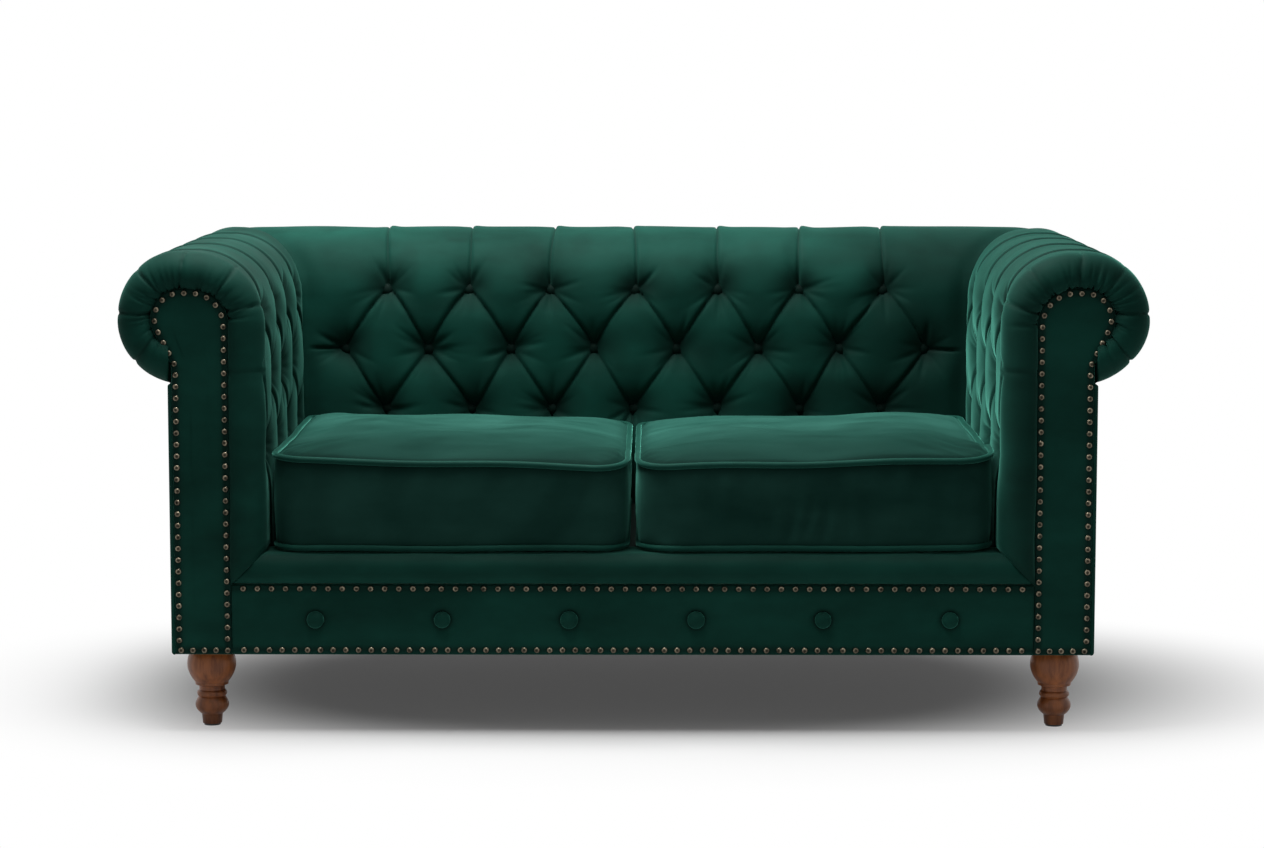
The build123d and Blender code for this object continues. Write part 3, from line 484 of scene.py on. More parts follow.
def buildArm(side, name, node, seed, finish, shadeMix, front):
    v = wallRows(0.0030)[:, None]
    step = tuft["armPitch"] / tuft["steps"]
    steps = pad["mitreSteps"]
    a = np.linspace(0, math.pi / 2, 9)
    b = np.linspace(0, math.pi / 2, 19)[1:]
    sideY = nose["crownY"] + nose["frontR"]
    rimInset = nose["frontR"] + nose["rimR"] * np.cos(a)
    rimY = nose["crownY"] + nose["rimR"] - nose["rimR"] * np.sin(a)
    frontInset = nose["frontR"] * (1 - np.sin(b))
    frontY = sideY - nose["frontR"] * np.cos(b)
    first = int(math.ceil((sideY + 0.002 - tuft["armFirst"]) / step))
    last = int((wall["backInner"] - 0.002 - tuft["armFirst"]) / step)
    mid = tuft["armFirst"] + np.arange(first, last + 1) * step
    out = np.linspace(0, 1, steps + 1)[1:]
    inset = np.concatenate([rimInset, frontInset, np.zeros(len(mid) + steps)])[None, :]
    turnN = np.concatenate([-np.cos(a), np.sin(b), np.ones(len(mid) + steps)])[None, :]
    turnY = np.concatenate([-np.sin(a), -np.cos(b), np.zeros(len(mid) + steps)])[None, :]
    part = np.concatenate([np.zeros(len(a) + len(b) + len(mid)), out])[None, :]
    frontRun = nose["frontR"] * (math.pi / 2 - b)
    rimRun = nose["frontR"] * math.pi / 2 + nose["rimR"] * (math.pi / 2 - a)
    runU = np.concatenate([sideY - rimRun, sideY - frontRun, mid, np.full(steps, mid[-1])])[None, :]
    baseY = np.concatenate([rimY, frontY, mid, np.full(steps, mid[-1])])[None, :]
    # the lower edge rises over the front border
    floorV = np.where(baseY < nose["borderY"], nose["overBorder"] - inset, nose["lowEdge"])
    blend = nose["lowBlend"]
    vv = np.where(v < blend, floorV + (v / blend) * (blend - floorV), v)
    s, z, ns, nz = wallPoint(vv, inset)
    end = wall["backInner"] + s
    u = runU + part * (end - mid[-1])
    topRow, midRow, lowRow = tuft["rows"]
    back = wall["backInner"] + 0.002
    sidePleat, pleatY = nose["sidePleat"], nose["sideY"]
    folds = diamondFolds(armTop, armMid, tuft["armPitch"])
    folds += [(armTop[0], topRow, pleatY, sidePleat + 0.01), (armTop[0], lowRow, pleatY, sidePleat - 0.01)]
    folds += [(armTop[-1], topRow, back, midRow), (armTop[-1], lowRow, back, midRow)]
    folds += [(pleatY, sidePleat, -0.49, sidePleat)]
    calm = 0.25 + 0.75 * ease(u, -0.430, -0.355)
    depth, shadeAndPile = tuftDepth(u, vv, folds, buttonSpots(armTop, armMid), seed, calm)
    gathered, shade = noseFolds(u, vv, seed + 5)
    depth += gathered
    # painted shade where the pad goes in behind the facing and along the nose pleats
    tucked = np.exp(-(((u + 0.4765) / 0.012) ** 2))  # dark where it goes in behind the facing
    shadeAndPile = np.clip(shadeAndPile - 0.3 * shade - 0.75 * tucked, 0, 1)
    corner = np.exp(-(((end - u) / pad["mitreR"]) ** 2))
    depth = depth * (1 - corner) - pad["mitre"] * corner
    hold = (1 - np.exp(-(((end - u) / pad["holdR"]) ** 2))) * ease(u, -0.43, -0.36)
    drift = 0.0028 * waves(u, vv, seed + 3, 0.40, 0.16) * hold
    upright = ease(vv, 0.06, 0.14) * (1 - ease(vv, 0.45, 0.55))
    lift = 0.0020 * waves(u, vv, seed + 4, 0.40, 0.16) * upright * hold
    s, z, ns, nz = wallPoint(vv + lift, inset)
    sOut = s + depth * ns * turnN
    zOut = z + depth * nz * turnN
    y = np.where(part > 0, mid[-1] + part * (wall["backInner"] + sOut - mid[-1]), baseY) + depth * turnY + drift
    grid = np.stack([side * (wall["innerX"] + sOut), y, zOut], -1)
    spineY = baseY + part * (wall["backInner"] + pad["spine"] - mid[-1])
    spine = np.full((spineY.shape[1], 3), (side * (wall["innerX"] + pad["spine"]), 0, pad["spineZ"]))
    spine[:, 1] = np.maximum(spineY, pad["frontLimit"] + 0.001)[0]
    # painted shade: the inner face below the shoulder and the front strip darken by the two given strengths
    inside = 1 - ease(vv, straightRun + 0.06, straightRun + 0.16)
    below = 1 - ease(vv, straightRun + 0.04, straightRun + 0.14)
    shadeAndPile = shadeAndPile * (1 - shadeMix * ease(u, -0.43, -0.37) * inside)
    shadeAndPile = shadeAndPile * (1 - front * (1 - ease(u, -0.44, -0.39)) * below)
    finishPad(name, node, grid, spine, depth, shadeAndPile, finish)


buildBack()
print("back buttoned")
# the left arm takes a darker low-sheen copy of the velvet and stronger painted shade on its inner face; the right arm
# takes stronger painted shade on its front strip
buildArm(-1, "armTuftingLeft", "arm_pad_left", 41, "velvetShadedArm", 0.65, 0.1)
buildArm(1, "armTuftingRight", "arm_pad_right", 61, "velvetShaded", 0.2, 0.45)
print("arms buttoned")


# node trees for what repeats
def newTree(name, inputs):
    tree = bpy.data.node_groups.new(name, "GeometryNodeTree")
    tree.interface.new_socket("Geometry", in_out="INPUT", socket_type="NodeSocketGeometry")
    for label, kind, value in inputs:
        sock = tree.interface.new_socket(label, in_out="INPUT", socket_type=kind)
        if value is not None:
            sock.default_value = value
    tree.interface.new_socket("Geometry", in_out="OUTPUT", socket_type="NodeSocketGeometry")
    return tree, tree.nodes.new("NodeGroupInput"), tree.nodes.new("NodeGroupOutput")


def closeTree(tree, start, finish, geometry):
    real = addNode(tree, "GeometryNodeRealizeInstances", {0: geometry})
    ends = {"Geometry": real.outputs[0], "Material": start.outputs["Finish"]}
    wire(tree, finish, {0: addNode(tree, "GeometryNodeSetMaterial", ends).outputs[0]})
    return tree


def runTree(name, source, tree, values, finish):
    mod = source.modifiers.new("grow", "NODES")
    mod.node_group = tree
    values = {**values, "Finish": paint[finish]}
    for item in tree.interface.items_tree:
        if item.item_type == "SOCKET" and item.in_out == "INPUT" and item.name in values:
            mod[item.identifier] = values[item.name]
    bpy.context.view_layer.update()
    mesh = bpy.data.meshes.new_from_object(source.evaluated_get(bpy.context.evaluated_depsgraph_get()))
    mesh.name = name
    bpy.data.objects.remove(source)
    made = bpy.data.objects.new(name, mesh)
    bpy.context.collection.objects.link(made)
    return made


def lineSource(points, closed=False, aims=None, edges=True):
    mesh = bpy.data.meshes.new("path")
    count = len(points)
    runs = [(i, i + 1) for i in range(count - 1)] if edges else []
    if closed:
        runs.append((count - 1, 0))
    mesh.from_pydata([tuple(map(float, p)) for p in points], runs, [])
    if aims is not None:
        aim = mesh.attributes.new("aim", "FLOAT_VECTOR", "POINT")
        aim.data.foreach_set("vector", np.asarray(aims, np.float32).ravel())
    obj = bpy.data.objects.new("path", mesh)
    bpy.context.collection.objects.link(obj)
    return obj


def joinSources(sources):
    verts, edges = [], []
    for obj in sources:
        start = len(verts)
        verts += [tuple(p.co) for p in obj.data.vertices]
        edges += [(e.vertices[0] + start, e.vertices[1] + start) for e in obj.data.edges]
        bpy.data.objects.remove(obj)
    mesh = bpy.data.meshes.new("path")
    mesh.from_pydata(verts, edges, [])
    obj = bpy.data.objects.new("path", mesh)
    bpy.context.collection.objects.link(obj)
    return obj


# fabric buttons: flattened dome, turned along its own aim
button = {
    "radius": 0.0112, "height": 0.0085, "seed": 4,
    "railRadius": 0.0136, "railHeight": 0.0095, "railSeed": 9, "railPitch": 0.1965, "railY": -0.4120, "railZ": 0.177,
}


def buttonTree():
    tree, start, finish = newTree("fabricButtons", [
        ("Radius", "NodeSocketFloat", 0.011), ("Height", "NodeSocketFloat", 0.008),
        ("Seed", "NodeSocketInt", 1), ("Finish", "NodeSocketMaterial", None),
    ])
    wide, high = start.outputs["Radius"], start.outputs["Height"]
    ball = addNode(tree, "GeometryNodeMeshUVSphere", {"Segments": 18, "Rings": 9, "Radius": 1.0})
    size = addNode(tree, "ShaderNodeCombineXYZ", {0: wide, 1: wide, 2: high})
    flat = addNode(tree, "GeometryNodeTransform", {"Geometry": ball.outputs["Mesh"], "Scale": size.outputs[0]})
    soft = addNode(tree, "GeometryNodeSetShadeSmooth", {0: flat.outputs[0]})
    aim = addNode(tree, "GeometryNodeInputNamedAttribute", data_type="FLOAT_VECTOR")
    wire(tree, aim, {"Name": "aim"})
    turn = addNode(tree, "FunctionNodeAlignRotationToVector", {"Vector": aim.outputs["Attribute"]}, axis="Z")
    vary = addNode(tree, "FunctionNodeRandomValue", {2: 0.95, 3: 1.04, "Seed": start.outputs["Seed"]}, data_type="FLOAT")
    spread = addNode(tree, "GeometryNodeInstanceOnPoints", {
        "Points": start.outputs["Geometry"], "Instance": soft.outputs[0],
        "Rotation": turn.outputs["Rotation"], "Scale": vary.outputs[1],
    })
    return closeTree(tree, start, finish, spread.outputs[0])


buttonNodes = buttonTree()


def buttons(name, node, points, aims, radius, height, seed, finish):
    source = lineSource(points, aims=aims, edges=False)
    values = {"Radius": button[radius], "Height": button[height], "Seed": button[seed]}
    give(runTree(name, source, buttonNodes, values, finish), "frame", "velvet", node)


def wallButtons(name, node, spots, place, aim):
    points, aims = [], []
    for along, v in spots:
        s, z, ns, nz = (float(c) for c in wallPoint(v, tuft["sink"]))
        points.append(place(along, s, z))
        aims.append(aim(ns, nz))
    buttons(name, node, points, aims, "radius", "height", "seed", "shadedButtonVelvet")


wallButtons(
    "backButtons", "back_buttons", buttonSpots(backTop, backMid),
    lambda x, s, z: (x, wall["backInner"] + s, z), lambda n, m: (0, n, m),
)
for side, name, node in ((-1, "armButtonsLeft", "arm_buttons_left"), (1, "armButtonsRight", "arm_buttons_right")):
    wallButtons(
        name, node, buttonSpots(armTop, armMid),
        lambda y, s, z: (side * (wall["innerX"] + s), y, z), lambda n, m: (side * n, 0, m),
    )
railSpots = [((i - 2.5) * button["railPitch"], button["railY"], button["railZ"]) for i in range(6)]
buttons("railButtons", "rail_buttons", railSpots, [(0, -1, 0)] * 6, "railRadius", "railHeight", "railSeed", "velvet")
print("buttons set")


# scroll panels on the arm fronts
facing = {
    "pad": 0.055, "out": 0.144, "neckZ": 0.575, "low": 0.122, "face": -0.413, "back": -0.4035,
    "crown": 0.0022, "nailInset": 0.0073, "pucker": 0.0007, "nailShade": 0.72, "fill": 0.95,
    "rings": (0.0026, 0.0045, 0.0060, 0.0073, 0.0086, 0.0105, 0.014, 0.019, 0.025, 0.031),
}


def scrollOutline(edge):
    inner = facing["pad"] + edge
    top = cadHigh.z - inner
    roll = wall["rollR"] - inner
    neck = (facing["out"] - edge, facing["neckZ"] - edge / 2)
    reach = math.hypot(neck[0] - wall["rollOut"], neck[1] - wall["rollZ"])
    aim = math.atan2(neck[1] - wall["rollZ"], neck[0] - wall["rollOut"])
    turn = aim + math.acos(roll / reach)
    low = facing["low"] + edge
    parts = []
    parts.append(np.linspace((inner, low), (inner, wall["shoulderZ"]), 131)[:-1])
    a = np.linspace(math.pi, math.pi / 2, 31)[:-1]
    bend = wall["shoulderR"] - inner
    parts.append(np.stack([wall["shoulderR"] + bend * np.cos(a), wall["shoulderZ"] + bend * np.sin(a)], -1))
    parts.append(np.linspace((wall["shoulderR"], top), (wall["rollOut"], top), 6)[:-1])
    a = np.linspace(math.pi / 2, turn, 41)[:-1]
    parts.append(np.stack([wall["rollOut"] + roll * np.cos(a), wall["rollZ"] + roll * np.sin(a)], -1))
    touch = (wall["rollOut"] + roll * math.cos(turn), wall["rollZ"] + roll * math.sin(turn))
    parts.append(np.linspace(touch, neck, 13)[:-1])
    parts.append(np.linspace(neck, (facing["out"] - edge, low), 111)[:-1])
    parts.append(np.linspace((facing["out"] - edge, low), (inner, low), 25)[:-1])
    return np.vstack(parts)


def buildFacing(side, name, node, seed):
    rings = [(0.0, facing["back"]), (0.0002, facing["face"] + 0.0035), (0.0011, facing["face"] + 0.0012)]
    rings += [(edge, None) for edge in facing["rings"]]
    verts, shadeAndPile = [], []
    for edge, y in rings:
        line = scrollOutline(edge)
        count = len(line)
        # painted shade in a band along the nail line
        inward = max(edge - facing["nailInset"], 0)
        shadeAndPile.append(np.full(count, 1 - facing["nailShade"] * math.exp(-((inward / 0.0055) ** 2))))
        if y is None:
            rise = facing["crown"] * (1 - math.exp(-edge / 0.010))
            pucker = facing["pucker"] * math.exp(-(((edge - facing["nailInset"]) / 0.0026) ** 2))
            deep = facing["face"] - rise + pucker
            ys = deep + 0.0005 * waves(line[:, 0], line[:, 1], seed, 0.16, 0.03) * ease(edge, 0.004, 0.02)
        else:
            ys = np.full(count, y)
        verts.append(np.stack([side * (wall["innerX"] + line[:, 0]), ys, line[:, 1]], -1))
    last = (len(rings) - 1) * count
    faces = tubeFaces(len(rings), count) + [tuple(range(last, last + count)), tuple(range(count - 1, -1, -1))]
    obj = piece(name, np.vstack(verts), faces, "velvetShaded", np.concatenate(shadeAndPile))
    turnOutward(obj)
    give(obj, "frame", "velvet", node)


buildFacing(-1, "facingLeft", "arm_facing_left", 71)
buildFacing(1, "facingRight", "arm_facing_right", 72)
print("scroll panels covered")


# bottom rail cover with its six shallow dimples
rail = {
    "halfWidth": 0.6197, "low": 0.122, "high": 0.232, "face": -0.413, "back": -0.4035, "round": 0.004,
    "dimple": 0.0062, "dimpleR": 0.021, "nailRows": (0.226, 0.130), "nailReach": 0.602, "fill": 0.95,
}


def buildRail():
    corner = np.linspace(0, math.pi / 2, 5)
    r = rail["round"]
    lowZ = rail["low"] + r - r * np.sin(corner[::-1])
    lowY = rail["face"] + r - r * np.cos(corner[::-1])
    midZ = np.linspace(rail["low"] + r, rail["high"] - r, 36)[1:-1]
    highZ = rail["high"] - r + r * np.sin(corner)
    highY = rail["face"] + r - r * np.cos(corner)
    z = np.concatenate([[rail["low"]], lowZ, midZ, highZ, [rail["high"]]])[:, None]
    y = np.concatenate([[rail["back"]], lowY, np.full(len(midZ), rail["face"]), highY, [rail["back"]]])[:, None]
    x = np.linspace(-rail["halfWidth"], rail["halfWidth"], 421)[None, :]
    x, z, y = np.broadcast_arrays(x, z, y)
    inner = ease(z, rail["low"] + 0.002, rail["low"] + 0.02)
    inner = inner * (1 - ease(z, rail["high"] - 0.02, rail["high"] - 0.002))
    lift = 0.0012 * inner + 0.0006 * inner * waves(x, z * 2, 81, 0.26, 0.05)
    shadeAndPile = np.ones(x.shape)
    # painted shade: a dark ring round each button
    for bx, _, bz in railSpots:
        dist = np.hypot(x - bx, z - bz)
        shadeAndPile = shadeAndPile - 0.75 * np.exp(-(((dist - 0.0130) / 0.0042) ** 2))
        angle = np.arctan2(z - bz, x - bx)
        lift = lift - rail["dimple"] * np.exp(-((dist / rail["dimpleR"]) ** 2))
        lift = lift + 0.0006 * np.exp(-(((dist - 0.024) / 0.010) ** 2)) * np.sin(7 * angle + bx * 40)
    # a shallow groove and painted shade along each nail row
    for rowZ in rail["nailRows"]:
        lift = lift - 0.0005 * np.exp(-(((z - rowZ) / 0.003) ** 2))
        shadeAndPile = shadeAndPile - 0.65 * np.exp(-(((z - rowZ) / 0.0050) ** 2))
    verts = np.stack([x, y - lift * (y < rail["back"] - 0.002), z], -1).reshape(-1, 3)
    rows, cols = x.shape
    faces, last = gridFaces(rows, cols), (rows - 1) * cols
    faces += [(j, j + 1, last + j + 1, last + j) for j in range(cols - 1)]
    faces += [tuple(i * cols + j for i in range(rows)) for j in (0, cols - 1)]
    obj = piece("railCover", verts, faces, "velvetShaded", np.clip(shadeAndPile, 0, 1).ravel())
    turnOutward(obj)
    give(obj, "frame", "velvet", "rail_cover")


buildRail()


# stuffed border under the cushions, mitred into the arm fronts
border = {
    "front": -0.421, "back": -0.337, "low": 0.2325, "high": 0.2808, "mitre": 0.852, "plump": 0.0026, "round": 0.019,
    "fill": 0.85,
}


def buildBorder():
    r = border["round"]
    a = np.linspace(0, math.pi / 2, 10)
    ring = [(border["back"], border["low"])]
    ring += [(border["front"] + r - r * math.sin(t), border["low"] + r - r * math.cos(t)) for t in a]
    ring += [(border["front"] + r - r * math.cos(t), border["high"] - r + r * math.sin(t)) for t in a]
    ring += [(y, border["high"]) for y in np.linspace(border["front"] + r, border["back"], 8)[1:]]
    ring += [(border["back"], z) for z in np.linspace(border["high"], border["low"], 5)[1:-1]]
    ring = np.array(ring)
    t = np.linspace(-1, 1, 361)[:, None]
    y, z = ring[None, :, 0], ring[None, :, 1]
    x = t * (border["mitre"] - z)
    y, z, x = (np.array(c) for c in np.broadcast_arrays(y, z, x))
    face = np.exp(-(((z - 0.256) / 0.018) ** 2)) * (y < border["front"] + r)
    fullness = border["plump"] * (1 - np.exp(-(1 - np.abs(t)) * 0.6 / 0.03))
    y = y - face * (fullness + 0.0008 * waves(x, z, 91, 0.30, 0.06))
    z = z - 0.0012 * (1 + waves(x, y, 92, 0.35, 0.10)) * (z > border["high"] - 0.002) * 0.5
    rows, cols = x.shape
    verts = np.stack([x, y, z], -1).reshape(-1, 3)
    faces = tubeFaces(rows, cols)
    faces += [tuple(range(cols)), tuple(range(rows * cols - 1, (rows - 1) * cols - 1, -1))]
    # painted shade: darker at the top under the cushions' overhang and along the bottom edge
    shadeAndPile = 1 - 0.55 * ease(z, 0.258, border["high"]) - 0.35 * (1 - ease(z, border["low"], border["low"] + 0.008))
    obj = piece("frontBorder", verts, faces, "velvetShaded", shadeAndPile.ravel())
    turnOutward(obj)
    give(obj, "frame", "velvet", "front_border")


buildBorder()
print("rail and border covered")


# soft covered panels: outside arms, outside back, seat deck
outsideArm = {
    "corner": (0.7092, -0.413, 0.122), "across": (0, 1, 0), "up": (0, 0, 1), "outward": (1, 0, 0),
    "size": (0.758, 0.4222), "thick": 0.0055, "bulge": 0.0035, "round": 0.005,
}
outsideBack = {
    "corner": (-0.709, 0.3392, 0.122), "across": (1, 0, 0), "up": (0, 0, 1), "outward": (0, 1, 0),
    "size": (1.418, 0.4222), "thick": 0.0055, "bulge": 0.0035, "round": 0.005,
}
seatDeck = {
    "corner": (-0.5645, -0.3357, 0.2322), "across": (1, 0, 0), "up": (0, 1, 0), "outward": (0, 0, 1),
    "size": (1.129, 0.530), "thick": 0.0440, "bulge": 0.0036, "round": 0.012,
}


def softPanel(name, node, spec, seed, side=1, finish="velvet", slotName="velvet"):
    corner, across, up, normal = (
        np.array(spec[key], float) * (side, 1, 1) for key in ("corner", "across", "up", "outward")
    )
    size, bulge, roundR = spec["size"], spec["bulge"], spec["round"]
    rim = np.array([0, 0.15, 0.4, 0.7, 1]) * roundR

    def spacing(length):
        inner = np.linspace(roundR, length - roundR, max(24, int(length / 0.012)))[1:-1]
        return np.concatenate([rim, inner, length - rim[::-1]])

    u, v = spacing(size[0])[None, :], spacing(size[1])[:, None]
    edge = np.minimum(np.minimum(u, size[0] - u), np.minimum(v, size[1] - v))
    fall = roundR - np.sqrt(np.clip(roundR**2 - np.clip(roundR - edge, 0, roundR) ** 2, 0, None))
    full = (1 - np.exp(-edge / 0.05)) * bulge
    h = spec["thick"] - fall + full + 0.22 * bulge * waves(u, v, seed, 0.45, 0.12) * ease(edge, 0.01, 0.08)
    h = np.maximum(h, 0.0002)
    top = corner + u[..., None] * across + v[..., None] * up + h[..., None] * normal
    rows, cols = h.shape
    loop = rimLoop(rows, cols)
    verts = top.reshape(-1, 3)
    flatRim = verts[loop] - (h.reshape(-1)[loop])[:, None] * normal
    start = len(verts)
    verts = np.vstack([verts, flatRim])
    faces = gridFaces(rows, cols)
    count = len(loop)
    for i in range(count):
        n = (i + 1) % count
        faces.append((int(loop[i]), int(loop[n]), start + n, start + i))
    faces.append(tuple(range(start, start + count)))
    obj = piece(name, verts, faces, finish)
    turnOutward(obj)
    give(obj, "frame", slotName, node)


softPanel("outsideArmLeft", "outside_arm_left", outsideArm, 101, side=-1)
softPanel("outsideArmRight", "outside_arm_right", outsideArm, 102)
softPanel("outsideBack", "outside_back", outsideBack, 103)
softPanel("seatDeck", "deck_pad", seatDeck, 104, finish="deckCloth", slotName="cloth")
print("outside panels and deck covered")


# dome nails along the scroll panels and the rail
nailHead = {
    "radius": 0.0050, "height": 0.0036, "bite": 0.0002, "facingPitch": 0.018, "railPitches": (0.0215, 0.0197), "seed": 12,
}


def nailTree():
    tree, start, finish = newTree("domeNails", [
        ("Pitch", "NodeSocketFloat", 0.018), ("Radius", "NodeSocketFloat", 0.005), ("Height", "NodeSocketFloat", 0.0035),
        ("Seed", "NodeSocketInt", 1), ("Finish", "NodeSocketMaterial", None),
    ])
    line = addNode(tree, "GeometryNodeMeshToCurve", {"Mesh": start.outputs["Geometry"]})
    even = addNode(tree, "GeometryNodeResampleCurve", mode="LENGTH")
    wire(tree, even, {"Curve": line.outputs["Curve"], "Length": start.outputs["Pitch"]})
    ball = addNode(tree, "GeometryNodeMeshUVSphere", {"Segments": 10, "Rings": 8, "Radius": 1.0})
    lie = addNode(tree, "GeometryNodeTransform", {"Geometry": ball.outputs["Mesh"], "Rotation": (math.pi / 2, 0, 0)})
    at = addNode(tree, "GeometryNodeInputPosition")
    axes = addNode(tree, "ShaderNodeSeparateXYZ", {0: at.outputs[0]})
    crown = addNode(tree, "ShaderNodeMath", {0: axes.outputs["Y"]}, operation="ABSOLUTE")
    mark = addNode(tree, "GeometryNodeStoreNamedAttribute", data_type="FLOAT", domain="POINT")
    wire(tree, mark, {"Name": "dome", "Geometry": lie.outputs[0], "Value": crown.outputs[0]})
    wide, high = start.outputs["Radius"], start.outputs["Height"]
    size = addNode(tree, "ShaderNodeCombineXYZ", {0: wide, 1: high, 2: wide})
    flat = addNode(tree, "GeometryNodeTransform", {"Geometry": mark.outputs[0], "Scale": size.outputs[0]})
    soft = addNode(tree, "GeometryNodeSetShadeSmooth", {0: flat.outputs[0]})
    tilt = addNode(tree, "FunctionNodeRandomValue", data_type="FLOAT_VECTOR")
    wire(tree, tilt, {0: (-0.16, -3.1, -0.16), 1: (0.16, 3.1, 0.16), "Seed": start.outputs["Seed"]})
    spread = addNode(tree, "GeometryNodeInstanceOnPoints", {
        "Points": even.outputs["Curve"], "Instance": soft.outputs[0], "Rotation": tilt.outputs[0],
    })
    return closeTree(tree, start, finish, spread.outputs[0])


nailNodes = nailTree()


def nails(name, source, pitch, seed, *node):
    values = {"Pitch": pitch, "Radius": nailHead["radius"], "Height": nailHead["height"], "Seed": seed}
    give(runTree(name, source, nailNodes, values, "nailBronze"), "frame", "bronze", *node)


for side, name, node in ((-1, "facingNailsLeft", "facing_nails_left"), (1, "facingNailsRight", "facing_nails_right")):
    path = [
        (side * (wall["innerX"] + s), facing["face"] - nailHead["bite"], z)
        for s, z in scrollOutline(facing["nailInset"])
    ]
    nails(name, lineSource(path, closed=True), nailHead["facingPitch"], nailHead["seed"], node)
# both rows stand for the one node of the rail nails
for row, name, *node in ((0, "railNailsUpper", "rail_nails"), (1, "railNailsLower")):
    ends = [(x, rail["face"] - nailHead["bite"], rail["nailRows"][row]) for x in (-rail["nailReach"], rail["nailReach"])]
    nails(name, lineSource(ends), nailHead["railPitches"][row], nailHead["seed"] + 1 + row, *node)
print("nails driven")


# seat cushions: boxed covers swollen by pressure, piped at both seams
cushion = {
    "x": -0.2825, "halfX": 0.2745, "front": -0.4045, "back": 0.1875, "lowSeam": 0.2858, "highSeam": 0.4198,
    "crown": 0.0155, "crownReach": 0.085, "corner": 0.030, "frontCorner": 0.052, "cornerLift": 0.011, "draw": -0.002,
    "voxel": 0.0062, "pressure": 3.0, "topCap": 0.0235, "sideCap": 0.0085, "lowCap": 0.0035, "groove": 0.0035,
    "pipe": 0.0047, "proud": 0.0004, "lowProud": -0.0012, "lowRise": 0.0012, "tilt": 0.0062, "fill": 0.85,
    "brushed": 0.22, "paler": 0.2, "creaseZ": 0.322,
    "creases": (
        (0.215, -0.10, 0.0040), (0.247, 0.12, 0.0052), (0.268, 0.25, 0.0058), (0.297, 0.05, 0.0046), (0.335, -0.15, 0.0030),
    ),
}
cushionY = (cushion["back"] + cushion["front"]) / 2
cushionHalfY = (cushion["back"] - cushion["front"]) / 2
cushionHeight = cushion["highSeam"] - cushion["lowSeam"]


def cushionOutline(inset, count=232):
    hx, hy = cushion["halfX"] - inset, cushionHalfY - inset
    a = np.linspace(0, math.pi / 2, 13)
    pts = []
    for turn, (sx, sy) in enumerate(((1, 1), (-1, 1), (-1, -1), (1, -1))):
        r = max(cushion["corner" if sy > 0 else "frontCorner"] - inset * 0.5, 0.006)
        t = a + turn * math.pi / 2
        pts.append(np.stack([sx * (hx - r) + r * np.cos(t), sy * (hy - r) + r * np.sin(t)], -1))
    ring = np.vstack(pts + [pts[0][:1]])
    run = np.concatenate([[0], np.cumsum(np.hypot(*np.diff(ring, axis=0).T))])
    at = np.linspace(0, run[-1], count + 1)[:-1]
    x, y = np.interp(at, run, ring[:, 0]), np.interp(at, run, ring[:, 1])
    return x, y + cushionY


def cushionStart():
    levels = [(cushion["lowSeam"], f, 0.0) for f in np.linspace(0.02, 1, 13)]
    for t in np.linspace(0, 1, 13)[1:-1]:
        levels.append((cushion["lowSeam"] + t * cushionHeight, 1.0, cushion["draw"] * math.sin(math.pi * t)))
    for f in 1 - np.concatenate([0.32 * np.linspace(0, 1, 15) ** 1.6, np.linspace(0.36, 0.98, 11)]):
        dome = 1 + float(crownFall((1 - f) * 0.28 / cushion["crownReach"]))
        levels.append((cushion["highSeam"] + cushion["crown"] * dome, f, 0.0))
    verts = []
    for z, f, draw in levels:
        x, y = cushionOutline(draw)
        count = len(x)
        verts.append(np.stack([cushion["x"] + x * f, cushionY + (y - cushionY) * f, np.full(count, z)], -1))
    last = (len(levels) - 1) * count
    faces = tubeFaces(len(levels), count) + [tuple(range(count - 1, -1, -1)), tuple(range(last, last + count))]
    return np.vstack(verts), faces


def seamDistance(p):
    r = np.where(p[:, 1] > cushionY, cushion["corner"], cushion["frontCorner"])
    qx = np.abs(p[:, 0] - cushion["x"]) - cushion["halfX"] + r
    qy = np.abs(p[:, 1] - cushionY) - cushionHalfY + r
    edge = np.hypot(np.maximum(qx, 0), np.maximum(qy, 0)) + np.minimum(np.maximum(qx, qy), 0) - r
    up = np.minimum(np.abs(p[:, 2] - cushion["lowSeam"]), np.abs(p[:, 2] - cushion["highSeam"]))
    return np.hypot(edge, up), edge


